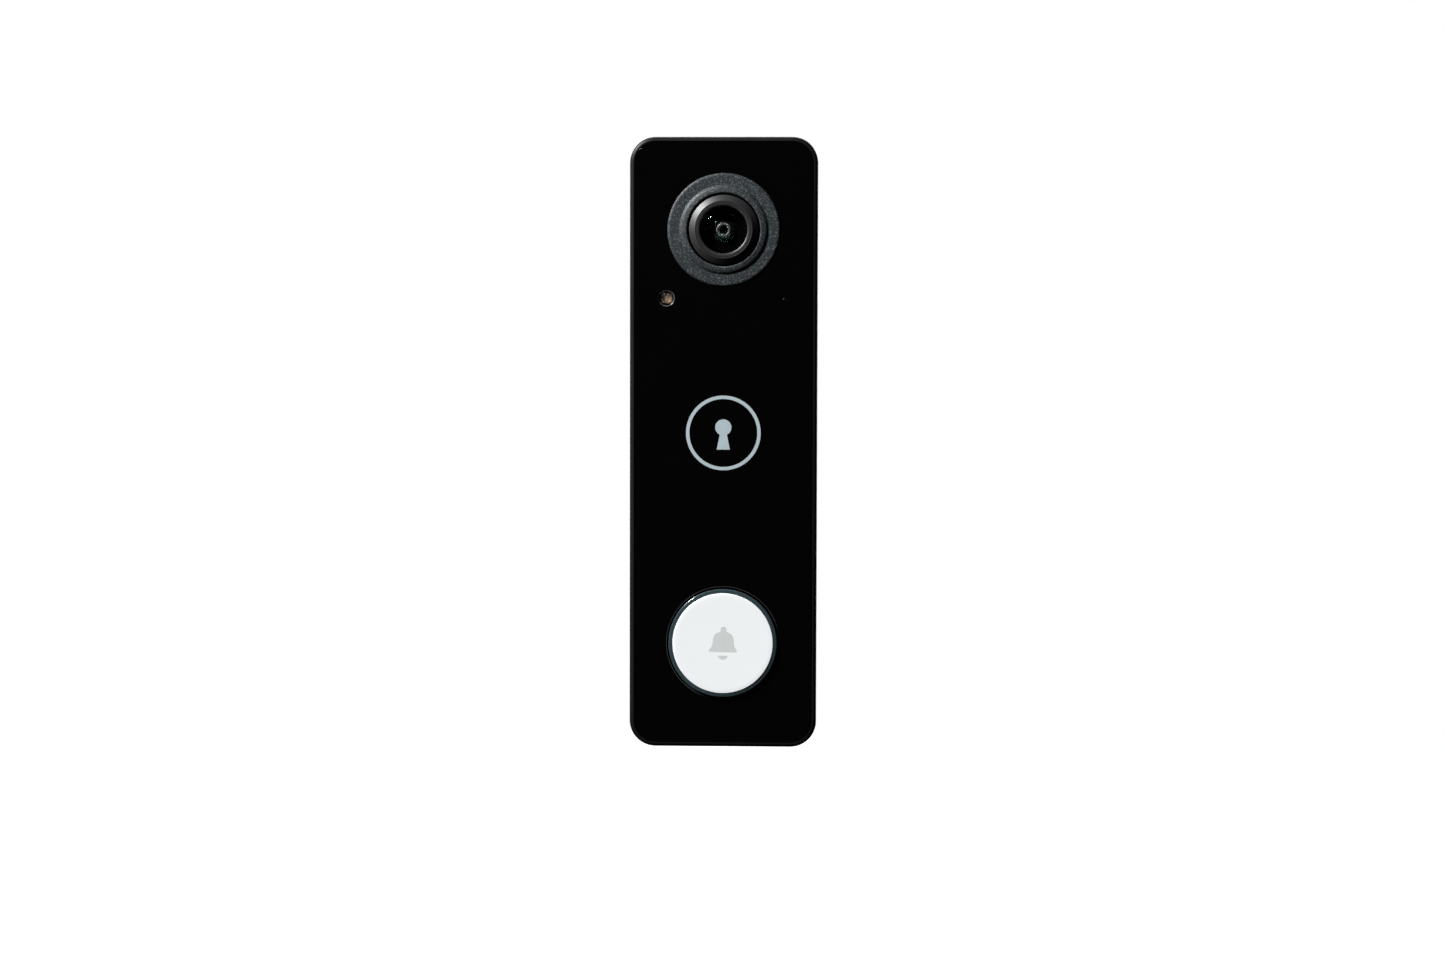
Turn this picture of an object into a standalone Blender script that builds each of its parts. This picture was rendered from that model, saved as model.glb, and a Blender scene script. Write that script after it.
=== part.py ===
"""A slim wired video doorbell on its wall plate, as an assembly of separate solids.

Row frame: +Z up, +X to the right of someone facing the doorbell, and the front faces -Y.
The wall is the plane y = 0 and the origin is the middle of the wall plate's back face.
Sizes are in millimetres here, and MM turns them into Blender's metres when a mesh is made.
"""

import math

import bmesh
import bpy
from mathutils import Matrix, Vector

MM = 0.001

# Outer case
WIDTH = 44.0
HEIGHT = 143.0
CORNER_RADIUS = 6.1
DRAFT = math.tan(math.radians(3.0))  # the sides narrow towards the wall
EDGE_FILLET = 1.0
RIM = 1.1  # width of the case's rim round the front panel
WALL = 1.8
FIT = 0.2  # gap between neighbouring solids

# Levels along Y, from the front to the wall
PANEL_FRONT = -23.6
PANEL_BACK = PANEL_FRONT + 1.2
BULKHEAD_FRONT = PANEL_BACK + FIT
BULKHEAD_BACK = BULKHEAD_FRONT + 1.4
HOUSING_BACK = -7.2
COVER_FRONT = HOUSING_BACK + FIT
COVER_BACK = -0.6
WEB_FRONT = -5.4
WEB_BACK = -3.8
PLATE_FRONT = -2.6
PLATE_BACK = 0.0

# Camera, at the top
CAMERA_Z = 49.85
BEZEL_RADIUS = 13.2
BEZEL_BORE = 8.5
BARREL_RADIUS = 8.1
LENS_RADIUS = 5.75
DOME_RADIUS = 8.08  # curvature of the front glass
DOME_APEX = -27.0

# Push button, at the bottom
BUTTON_Z = -46.9
BUTTON_RADIUS = 12.75
FACE_RADIUS = 11.8
BUTTON_HOLE = 13.3
BUTTON_TRAVEL = 0.6

# Small openings under the camera
SMALL_HOLE_Z = 34.0
SENSOR_X = -13.4
MICROPHONE_X = 13.8
IR_LED_X, IR_LED_Z = 5.0, 31.0

# Fastening of the unit to its wall plate
HOOK_AXIS = (-4.6, 62.0)  # y and z of the line about which the unit swings off the plate
HOOK_WINDOW_TOP = 61.0
TAB_UNDERSIDE = -65.0
SECURITY_SCREW_Y = -4.4
SECURITY_SCREW_RADIUS = 1.5

# Bell-wire terminals, in the back
TERMINAL_X, TERMINAL_Z = 7.0, 28.0

# Case screws, driven from the back into the front housing
CASE_SCREW_X = 17.0
CASE_SCREW_ZS = (59.0, -59.0)

# Boards
MAIN_BOARD_FRONT = -8.2
MAIN_BOARD_BACK = -7.2
CAMERA_BOARD_FRONT = -11.2
CAMERA_BOARD_BACK = -10.2
FRONT_BOARD_FRONT = -18.8
FRONT_BOARD_BACK = -17.8
BUTTON_BOARD_FRONT = -11.5
BUTTON_BOARD_BACK = -10.5

# Facets
CORNER_STEPS = 5
LARGE_ROUND = 40
MEDIUM_ROUND = 24
SMALL_ROUND = 12


# ---------------------------------------------------------------- materials


def make_material(name, colour, roughness, metallic=0.0, alpha=1.0):
    material = bpy.data.materials.new(name)
    material.use_nodes = True
    shader = material.node_tree.nodes["Principled BSDF"]
    shader.inputs["Base Color"].default_value = (*colour, 1.0)
    shader.inputs["Roughness"].default_value = roughness
    shader.inputs["Metallic"].default_value = metallic
    shader.inputs["Alpha"].default_value = alpha
    material.diffuse_color = (*colour, alpha)
    return material


def make_materials():
    return {
        "case_black": make_material("case_black", (0.012, 0.012, 0.013), 0.45),
        "gloss_black": make_material("gloss_black", (0.004, 0.004, 0.005), 0.06),
        "textured_grey": make_material("textured_grey", (0.05, 0.054, 0.06), 0.7),
        "lens_black": make_material("lens_black", (0.015, 0.015, 0.016), 0.35),
        "stop_grey": make_material("stop_grey", (0.12, 0.115, 0.11), 0.5),
        "clear": make_material("clear", (0.9, 0.95, 0.95), 0.02, alpha=0.35),
        "smoke_clear": make_material("smoke_clear", (0.05, 0.065, 0.075), 0.08),
        "white_face": make_material("white_face", (0.86, 0.88, 0.88), 0.2),
        "rubber_black": make_material("rubber_black", (0.02, 0.02, 0.02), 0.8),
        "silicone": make_material("silicone", (0.75, 0.77, 0.78), 0.5),
        "board": make_material("board", (0.02, 0.09, 0.05), 0.4),
        "chip": make_material("chip", (0.02, 0.02, 0.022), 0.5),
        "gold_chip": make_material("gold_chip", (0.55, 0.36, 0.12), 0.35),
        "white_part": make_material("white_part", (0.8, 0.8, 0.78), 0.5),
        "steel": make_material("steel", (0.6, 0.6, 0.6), 0.3, metallic=1.0),
        "black_steel": make_material("black_steel", (0.04, 0.04, 0.045), 0.35, metallic=1.0),
        "brass": make_material("brass", (0.75, 0.55, 0.22), 0.3, metallic=1.0),
        "aluminium": make_material("aluminium", (0.75, 0.76, 0.78), 0.35, metallic=1.0),
        "flex": make_material("flex", (0.45, 0.2, 0.05), 0.4),
        "speaker_paper": make_material("speaker_paper", (0.03, 0.03, 0.03), 0.9),
    }


# ---------------------------------------------------------------- outlines and meshes


def rounded_rectangle(width, height, radius, centre=(0.0, 0.0), steps=CORNER_STEPS):
    """Points (x, z) of a rounded rectangle, anticlockwise seen from the front."""
    points = []
    for turn, (side_x, side_z) in enumerate(((1, 1), (-1, 1), (-1, -1), (1, -1))):
        corner_x = centre[0] + side_x * (width / 2 - radius)
        corner_z = centre[1] + side_z * (height / 2 - radius)
        for step in range(steps + 1):
            angle = math.radians(90 * turn + 90 * step / steps)
            points.append((corner_x + radius * math.cos(angle), corner_z + radius * math.sin(angle)))
    return points


def case_inset(y):
    """How far the drafted outer side stands in from the full width at this depth."""
    return max(0.0, y - PANEL_FRONT - EDGE_FILLET) * DRAFT


def case_outline(y, inset=0.0):
    """The case's outline at depth y, set in by a further inset."""
    total = case_inset(y) + inset
    return rounded_rectangle(WIDTH - 2 * total, HEIGHT - 2 * total, CORNER_RADIUS - total)


def loft(sections):
    """A closed mesh through outlines with equally many points: [(y, outline), ...] along Y."""
    mesh = bmesh.new()
    rings = []
    for y, outline in sections:
        points = [mesh.verts.new(Vector((x, y, z)) * MM) for x, z in outline]
        rings.append([mesh.edges.new(pair) for pair in zip(points, points[1:] + points[:1])])
    for near, far in zip(rings, rings[1:]):
        bmesh.ops.bridge_loops(mesh, edges=near + far)
    bmesh.ops.contextual_create(mesh, geom=rings[0])
    bmesh.ops.contextual_create(mesh, geom=rings[-1])
    bmesh.ops.recalc_face_normals(mesh, faces=mesh.faces)
    return mesh


def prism(outline, front, back):
    return loft([(front, outline), (back, outline)])


def turned(profile, sides):
    """A closed mesh from spinning an outline [(radius, y), ...] once round the Y axis.

    An outline that starts and ends on the axis is left open there, and any other is closed.
    """
    mesh = bmesh.new()
    points = [mesh.verts.new((radius * MM, y * MM, 0.0)) for radius, y in profile]
    pairs = list(zip(points, points[1:]))
    if profile[0][0] > 0.0:
        pairs.append((points[-1], points[0]))
    edges = [mesh.edges.new(pair) for pair in pairs]
    bmesh.ops.spin(
        mesh, geom=points + edges, axis=(0, 1, 0), cent=(0, 0, 0), angle=2 * math.pi, steps=sides
    )
    bmesh.ops.remove_doubles(mesh, verts=mesh.verts, dist=1e-7)
    bmesh.ops.recalc_face_normals(mesh, faces=mesh.faces)
    return mesh


def disc_profile(radius, front, back):
    return [(0.0, front), (radius, front), (radius, back), (0.0, back)]


def ring_profile(inner, outer, front, back):
    return [(inner, front), (outer, front), (outer, back), (inner, back)]


def block(x_range, y_range, z_range):
    """A closed box mesh from its low and high X, Y and Z."""
    low, high = (Vector(corner) for corner in zip(x_range, y_range, z_range))
    mesh = bmesh.new()
    size = (high - low) * MM
    place = Matrix.Translation((low + high) / 2 * MM) @ Matrix.Diagonal((*size, 1.0))
    bmesh.ops.create_cube(mesh, size=1.0, matrix=place)
    return mesh


def side_prism(outline, low_x, high_x):
    """A closed mesh from an outline [(y, z), ...] extruded along X."""
    mesh = bmesh.new()
    points = [mesh.verts.new((low_x * MM, y * MM, z * MM)) for y, z in outline]
    face = mesh.faces.new(points)
    grown = bmesh.ops.extrude_face_region(mesh, geom=[face])["geom"]
    moved = [item for item in grown if isinstance(item, bmesh.types.BMVert)]
    bmesh.ops.translate(mesh, verts=moved, vec=((high_x - low_x) * MM, 0, 0))
    bmesh.ops.recalc_face_normals(mesh, faces=mesh.faces)
    return mesh


def upright_round(profile, sides=SMALL_ROUND):
    """The same as turned, but round the Z axis, with the profile's second value along +Z."""
    mesh = turned(profile, sides)
    bmesh.ops.rotate(mesh, verts=mesh.verts, cent=(0, 0, 0), matrix=Matrix.Rotation(math.pi / 2, 3, "X"))
    return mesh


# ---------------------------------------------------------------- objects


def add(name, mesh, material, at=(0.0, 0.0, 0.0), parent=None):
    """A named object from a bmesh, placed in the row frame and parented where it is."""
    data = bpy.data.meshes.new(name)
    mesh.to_mesh(data)
    mesh.free()
    obj = bpy.data.objects.new(name, data)
    bpy.context.scene.collection.objects.link(obj)
    obj.location = Vector(at) * MM
    if material is not None:
        data.materials.append(material)
    if parent is not None:
        obj.parent = parent
        obj.matrix_parent_inverse = parent.matrix_world.inverted()
    data.shade_smooth()
    data.set_sharp_from_angle(angle=math.radians(35))
    return obj


def add_empty(name, at, parent=None):
    empty = bpy.data.objects.new(name, None)
    bpy.context.scene.collection.objects.link(empty)
    empty.location = Vector(at) * MM
    if parent is not None:
        empty.parent = parent
        empty.matrix_parent_inverse = parent.matrix_world.inverted()
    bpy.context.view_layer.update()
    return empty


def combine(target, operation, meshes):
    """A Boolean modifier on target with helper objects made from [(mesh, place), ...]."""
    helpers = bpy.data.collections.new(f"{target.name}_{operation.lower()}")
    bpy.context.scene.collection.children.link(helpers)
    for number, (mesh, at) in enumerate(meshes):
        helper = add(f"{target.name}_{operation.lower()}_{number}", mesh, None, at)
        bpy.context.scene.collection.objects.unlink(helper)
        helpers.objects.link(helper)
        helper.hide_render = True
        helper.display_type = "WIRE"
    modifier = target.modifiers.new(operation.title(), "BOOLEAN")
    modifier.operation = operation
    modifier.operand_type = "COLLECTION"
    modifier.collection = helpers
    modifier.solver = "EXACT"


def fuse(target, *meshes):
    combine(target, "UNION", meshes)


def cut(target, *meshes):
    combine(target, "DIFFERENCE", meshes)


def here(mesh, x=0.0, y=0.0, z=0.0):
    """Pairs a mesh with its place, as fuse and cut take them."""
    return mesh, (x, y, z)


# ---------------------------------------------------------------- case


def case_screw_places():
    return [(side * CASE_SCREW_X, z) for z in CASE_SCREW_ZS for side in (-1, 1)]


def make_front_housing(materials, unit):
    """The front shell: drafted sides, a rounded front edge, and a bulkhead behind the panel."""
    fillet_steps = 4
    sections = []
    for step in range(fillet_steps + 1):
        angle = math.radians(90 * step / fillet_steps)
        inset = EDGE_FILLET * (1 - math.sin(angle))
        y = PANEL_FRONT + EDGE_FILLET * (1 - math.cos(angle))
        sections.append((y, case_outline(y, inset)))
    sections.append((HOUSING_BACK, case_outline(HOUSING_BACK)))
    housing = add("front_housing", loft(sections), materials["case_black"], parent=unit)

    # The inside is hollowed first, so that the bosses fused next stand in it.
    seal_floor = HOUSING_BACK - 2.2
    seal_ledge = 0.95
    past = 1.0
    cut(
        housing,
        here(prism(case_outline(PANEL_FRONT, RIM), PANEL_FRONT - past, BULKHEAD_FRONT)),
        here(
            loft(
                [
                    (BULKHEAD_BACK, case_outline(BULKHEAD_BACK, WALL)),
                    (HOUSING_BACK + past, case_outline(HOUSING_BACK + past, WALL)),
                ]
            )
        ),
        here(
            loft(
                [
                    (seal_floor, case_outline(seal_floor, seal_ledge)),
                    (HOUSING_BACK + past, case_outline(HOUSING_BACK + past, seal_ledge)),
                ]
            )
        ),
    )

    root = BULKHEAD_FRONT + 0.5  # bosses and posts start inside the bulkhead
    boss = 2.2
    post_x, post_zs = 12.0, (20.0, -29.0)
    post_radius = 1.4
    post_end = MAIN_BOARD_FRONT - FIT
    bosses = [
        here(turned(disc_profile(boss, root, HOUSING_BACK + 0.1), SMALL_ROUND), x=x, z=z)
        for x, z in case_screw_places()
    ]
    posts = [
        here(turned(disc_profile(post_radius, root, post_end), SMALL_ROUND), x=side * post_x, z=z)
        for z in post_zs
        for side in (-1, 1)
    ]
    fuse(housing, *bosses, *posts)

    pilot = 1.25
    pilot_depth = 8.0
    through = (BULKHEAD_FRONT - past, BULKHEAD_BACK + past)
    holes = [
        here(turned(disc_profile(10.3, *through), LARGE_ROUND), z=CAMERA_Z),
        here(turned(disc_profile(13.1, *through), LARGE_ROUND), z=BUTTON_Z),
        here(turned(disc_profile(2.35, *through), SMALL_ROUND), x=SENSOR_X, z=SMALL_HOLE_Z),
        here(turned(disc_profile(1.5, *through), SMALL_ROUND), x=MICROPHONE_X, z=SMALL_HOLE_Z),
    ]
    holes += [
        here(turned(disc_profile(2.2, *through), SMALL_ROUND), x=side * IR_LED_X, z=IR_LED_Z)
        for side in (-1, 1)
    ]
    pilots = [
        here(
            turned(disc_profile(pilot, HOUSING_BACK - pilot_depth, HOUSING_BACK + past), SMALL_ROUND),
            x=x,
            z=z,
        )
        for x, z in case_screw_places()
    ]
    slots = [
        here(block((x - 0.55, x + 0.55), (-18.0, -11.0), (-73.0, -68.0))) for x in speaker_slot_xs()
    ]
    cut(housing, *holes, *pilots, *slots)


def speaker_slot_xs():
    """Middles of the sound slots in the bottom face, evenly spaced about the middle."""
    count, pitch = 9, 2.4
    return [(index - (count - 1) / 2) * pitch for index in range(count)]


def make_front_panel(materials, unit):
    """The flat glossy cover that is bonded into the rim."""
    edge_gap = 0.15
    outline = case_outline(PANEL_FRONT, RIM + edge_gap)
    panel = add("front_panel", prism(outline, PANEL_FRONT, PANEL_BACK), materials["gloss_black"], parent=unit)
    through = (PANEL_FRONT - 1.0, PANEL_BACK + 1.0)
    cut(
        panel,
        here(turned(disc_profile(BEZEL_RADIUS + 0.15, *through), LARGE_ROUND), z=CAMERA_Z),
        here(turned(disc_profile(BUTTON_HOLE, *through), LARGE_ROUND), z=BUTTON_Z),
        here(turned(disc_profile(1.95, *through), SMALL_ROUND), x=SENSOR_X, z=SMALL_HOLE_Z),
        here(turned(disc_profile(0.4, *through), 8), x=MICROPHONE_X, z=SMALL_HOLE_Z),
    )


def make_housing_gasket(materials, unit):
    """The silicone cord that seals the two halves of the case."""
    outer, inner = 1.1, 1.75
    front, back = HOUSING_BACK - 2.0, HOUSING_BACK
    gasket = add(
        "housing_gasket",
        loft([(y, case_outline(y, outer)) for y in (front, back)]),
        materials["rubber_black"],
        parent=unit,
    )
    hole = loft([(y, case_outline(y, inner)) for y in (front - 1.0, back + 1.0)])
    cut(gasket, here(hole))


def make_rear_cover(materials, unit):
    """The back shell: a skirt, a web, the hook pocket, the lock pocket and the screw bosses."""
    back_fillet = 0.6
    fillet_steps = 3
    sections = [(COVER_FRONT, case_outline(COVER_FRONT))]
    for step in range(fillet_steps + 1):
        angle = math.radians(90 * step / fillet_steps)
        y = COVER_BACK - back_fillet * (1 - math.sin(angle))
        sections.append((y, case_outline(y, back_fillet * (1 - math.cos(angle)))))
    cover = add("rear_cover", loft(sections), materials["case_black"], parent=unit)

    past = 1.0
    skirt = 1.7
    cut(
        cover,
        here(loft([(y, case_outline(y, WALL)) for y in (COVER_FRONT - past, WEB_FRONT)])),
        here(loft([(y, case_outline(y, skirt)) for y in (WEB_BACK, COVER_BACK + past)])),
    )

    boss, boss_front = 3.3, -6.9
    lock_half = 6.0
    pocket_wall = 1.0
    hook_half, hook_low, hook_high, hook_floor = 10.0, 54.0, 66.2, -8.4
    lock_low, lock_high, lock_floor = -66.6, -60.5, -6.6
    into_web = WEB_FRONT + 0.5
    bosses = [
        here(turned(disc_profile(boss, boss_front, into_web), MEDIUM_ROUND), x=x, z=z)
        for x, z in case_screw_places()
    ]
    hook_box = block(
        (-hook_half - pocket_wall, hook_half + pocket_wall),
        (hook_floor - pocket_wall, into_web),
        (hook_low - pocket_wall, hook_high + pocket_wall),
    )
    lock_box = block(
        (-lock_half - pocket_wall, lock_half + pocket_wall),
        (lock_floor - pocket_wall, into_web),
        (lock_low - 1.9, lock_high + pocket_wall),
    )
    # Solid foot under the lock pocket, which the security screw runs through.
    lock_foot = block(
        (-lock_half - pocket_wall, lock_half + pocket_wall), (lock_floor, COVER_BACK - 0.8), (-69.6, lock_low)
    )
    fuse(cover, *bosses, here(hook_box), here(lock_box), here(lock_foot))

    head_recess, shank_hole = 2.3, 1.3
    head_floor = WEB_BACK - 1.5
    recesses = []
    for x, z in case_screw_places():
        stepped = [
            (0.0, boss_front - past),
            (shank_hole, boss_front - past),
            (shank_hole, head_floor),
            (head_recess, head_floor),
            (head_recess, WEB_BACK + past),
            (0.0, WEB_BACK + past),
        ]
        recesses.append(here(turned(stepped, SMALL_ROUND), x=x, z=z))
    terminals = [
        here(turned(disc_profile(1.7, WEB_FRONT - past, WEB_BACK + past), SMALL_ROUND), x=x, z=TERMINAL_Z)
        for x in (-TERMINAL_X, TERMINAL_X)
    ]
    hook_space = block((-hook_half, hook_half), (hook_floor, WEB_FRONT), (hook_low, hook_high))
    hook_window = block(
        (-hook_half, hook_half), (WEB_FRONT - 0.5, WEB_BACK + past), (hook_low, HOOK_WINDOW_TOP)
    )
    lock_space = block((-lock_half, lock_half), (lock_floor, WEB_BACK + past), (lock_low, lock_high))
    screw_hole = upright_round([(0.0, -73.0), (1.65, -73.0), (1.65, -65.5), (0.0, -65.5)])
    # The top of the back edge is relieved, so that it clears the wall as the unit swings.
    relief = side_prism([(-2.4, 71.5), (0.5, 71.5), (0.5, 61.0)], -25.0, 25.0)
    cut(
        cover,
        *recesses,
        *terminals,
        here(hook_space),
        here(hook_window),
        here(lock_space),
        here(screw_hole, y=SECURITY_SCREW_Y),
        here(relief),
    )


def make_case_screws(materials, unit):
    """Pan-head screws that hold the two halves of the case together, with a hexagonal drive."""
    head, shank = 2.1, 1.1
    head_back, head_front, tip = WEB_BACK - 0.1, WEB_BACK - 1.3, -13.5
    profile = [
        (0.0, tip - 0.8),
        (shank, tip),
        (shank, head_front),
        (head, head_front),
        (head, head_back - 0.4),
        (head - 0.4, head_back),
        (0.0, head_back),
    ]
    for number, (x, z) in enumerate(case_screw_places(), start=1):
        screw = add(
            f"case_screw_{number}",
            turned(profile, SMALL_ROUND),
            materials["steel"],
            (x, 0.0, z),
            unit,
        )
        drive = turned(disc_profile(0.9, head_back - 0.7, head_back + 0.5), 6)
        cut(screw, here(drive, x=x, z=z))


# ---------------------------------------------------------------- wall plate and its fastening


def make_wall_plate(materials):
    """The plate that is screwed to the wall, with two hooks, a lock tab and a cable window."""
    outline = rounded_rectangle(37.2, 132.2, 4.0, centre=(0.0, -0.1))
    plate = add("wall_plate", prism(outline, PLATE_FRONT, PLATE_BACK), materials["case_black"])

    into_plate = PLATE_FRONT + 0.6
    hook_top, lip_top = HOOK_WINDOW_TOP - 0.3, 64.2
    hook_outline = [
        (into_plate, 57.6),
        (into_plate, hook_top),
        (-5.8, hook_top),
        (-5.8, lip_top - 0.5),
        (-6.3, lip_top),
        (-7.4, lip_top),
        (-7.4, 57.6),
    ]
    tab = block((-4.0, 4.0), (-6.2, into_plate), (TAB_UNDERSIDE, TAB_UNDERSIDE + 2.0))
    gusset = [(into_plate, -60.4), (PLATE_FRONT - 0.01, -60.4), (-5.2, -63.2), (into_plate, -63.2)]
    fuse(
        plate,
        here(side_prism(hook_outline, -8.5, -3.5)),
        here(side_prism(hook_outline, 3.5, 8.5)),
        here(tab),
        here(side_prism(gusset, -0.6, 0.6)),
    )

    past = 1.0
    slot_half_width, slot_length = 2.0, 9.0
    slots = []
    for z, upright in ((46.0, True), (-46.0, False)):
        size = (2 * slot_half_width, slot_length) if upright else (slot_length, 2 * slot_half_width)
        hole = rounded_rectangle(*size, slot_half_width - 0.01, centre=(0.0, z), steps=4)
        sink = rounded_rectangle(size[0] + 3.4, size[1] + 3.4, slot_half_width + 1.69, (0.0, z), 4)
        slots.append(here(prism(hole, PLATE_FRONT - past, PLATE_BACK + past)))
        slots.append(here(loft([(PLATE_FRONT - 0.5, sink), (PLATE_BACK - 1.0, hole)])))
    for x, z in ((-12.0, -14.0), (12.0, -14.0)):
        slots.append(
            here(turned(disc_profile(2.0, PLATE_FRONT - past, PLATE_BACK + past), SMALL_ROUND), x=x, z=z)
        )
    cable_window = rounded_rectangle(26.0, 29.0, 3.0, centre=(0.0, 21.5))
    # Shallow pockets save material in the lower half, and leave ribs between them.
    pockets = [
        here(block((x - 6.0, x + 6.0), (PLATE_FRONT - past, PLATE_FRONT + 1.0), (-36.0, -20.0)))
        for x in (-8.0, 8.0)
    ]
    cut(plate, here(prism(cable_window, PLATE_FRONT - past, PLATE_BACK + past)), *slots, *pockets)


def make_security_screw(materials, unit):
    """The headless screw in the bottom face that locks the unit to the plate's tab."""
    axis = add_empty("security_screw_axis", (0.0, SECURITY_SCREW_Y, 0.0), unit)
    tip, end = TAB_UNDERSIDE - 0.4, -70.0
    profile = [
        (0.0, end),
        (SECURITY_SCREW_RADIUS - 0.3, end),
        (SECURITY_SCREW_RADIUS, end + 0.3),
        (SECURITY_SCREW_RADIUS, tip - 0.8),
        (SECURITY_SCREW_RADIUS - 0.7, tip),
        (0.0, tip),
    ]
    screw = add(
        "security_screw",
        upright_round(profile),
        materials["black_steel"],
        (0.0, SECURITY_SCREW_Y, 0.0),
        axis,
    )
    socket = upright_round([(0.0, end - 0.5), (0.85, end - 0.5), (0.85, end + 1.6), (0.0, end + 1.6)], 6)
    cut(screw, here(socket, y=SECURITY_SCREW_Y))


def make_terminals(materials, unit):
    """Two wire terminals: a screw with a washer head at the back, and its brass nut inside."""
    head, shank = 3.0, 1.5
    profile = [
        (0.0, -7.0),
        (shank, -6.6),
        (shank, -3.6),
        (head, -3.6),
        (head, -3.0),
        (head - 0.6, -3.0),
        (head - 0.6, -1.8),
        (head - 1.0, -1.4),
        (0.0, -1.4),
    ]
    for side, x in (("left", -TERMINAL_X), ("right", TERMINAL_X)):
        place = (x, 0.0, TERMINAL_Z)
        screw = add(f"terminal_screw_{side}", turned(profile, 16), materials["brass"], place, unit)
        cross = [
            here(block((x - 1.6, x + 1.6), (-2.2, -1.0), (TERMINAL_Z - 0.3, TERMINAL_Z + 0.3))),
            here(block((x - 0.3, x + 0.3), (-2.2, -1.0), (TERMINAL_Z - 1.6, TERMINAL_Z + 1.6))),
        ]
        cut(screw, *cross)
        nut = turned(ring_profile(shank + 0.15, 2.9, -6.9, WEB_FRONT - FIT), 8)
        add(f"terminal_nut_{side}", nut, materials["brass"], place, unit)


# ---------------------------------------------------------------- camera


def dome(radius, apex, curvature, steps):
    """Profile points on a sphere from the axis out to radius, bulging towards -Y."""
    points = []
    for step in range(steps + 1):
        r = radius * step / steps
        points.append((r, apex + curvature - math.sqrt(curvature**2 - r**2)))
    return points


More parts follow.
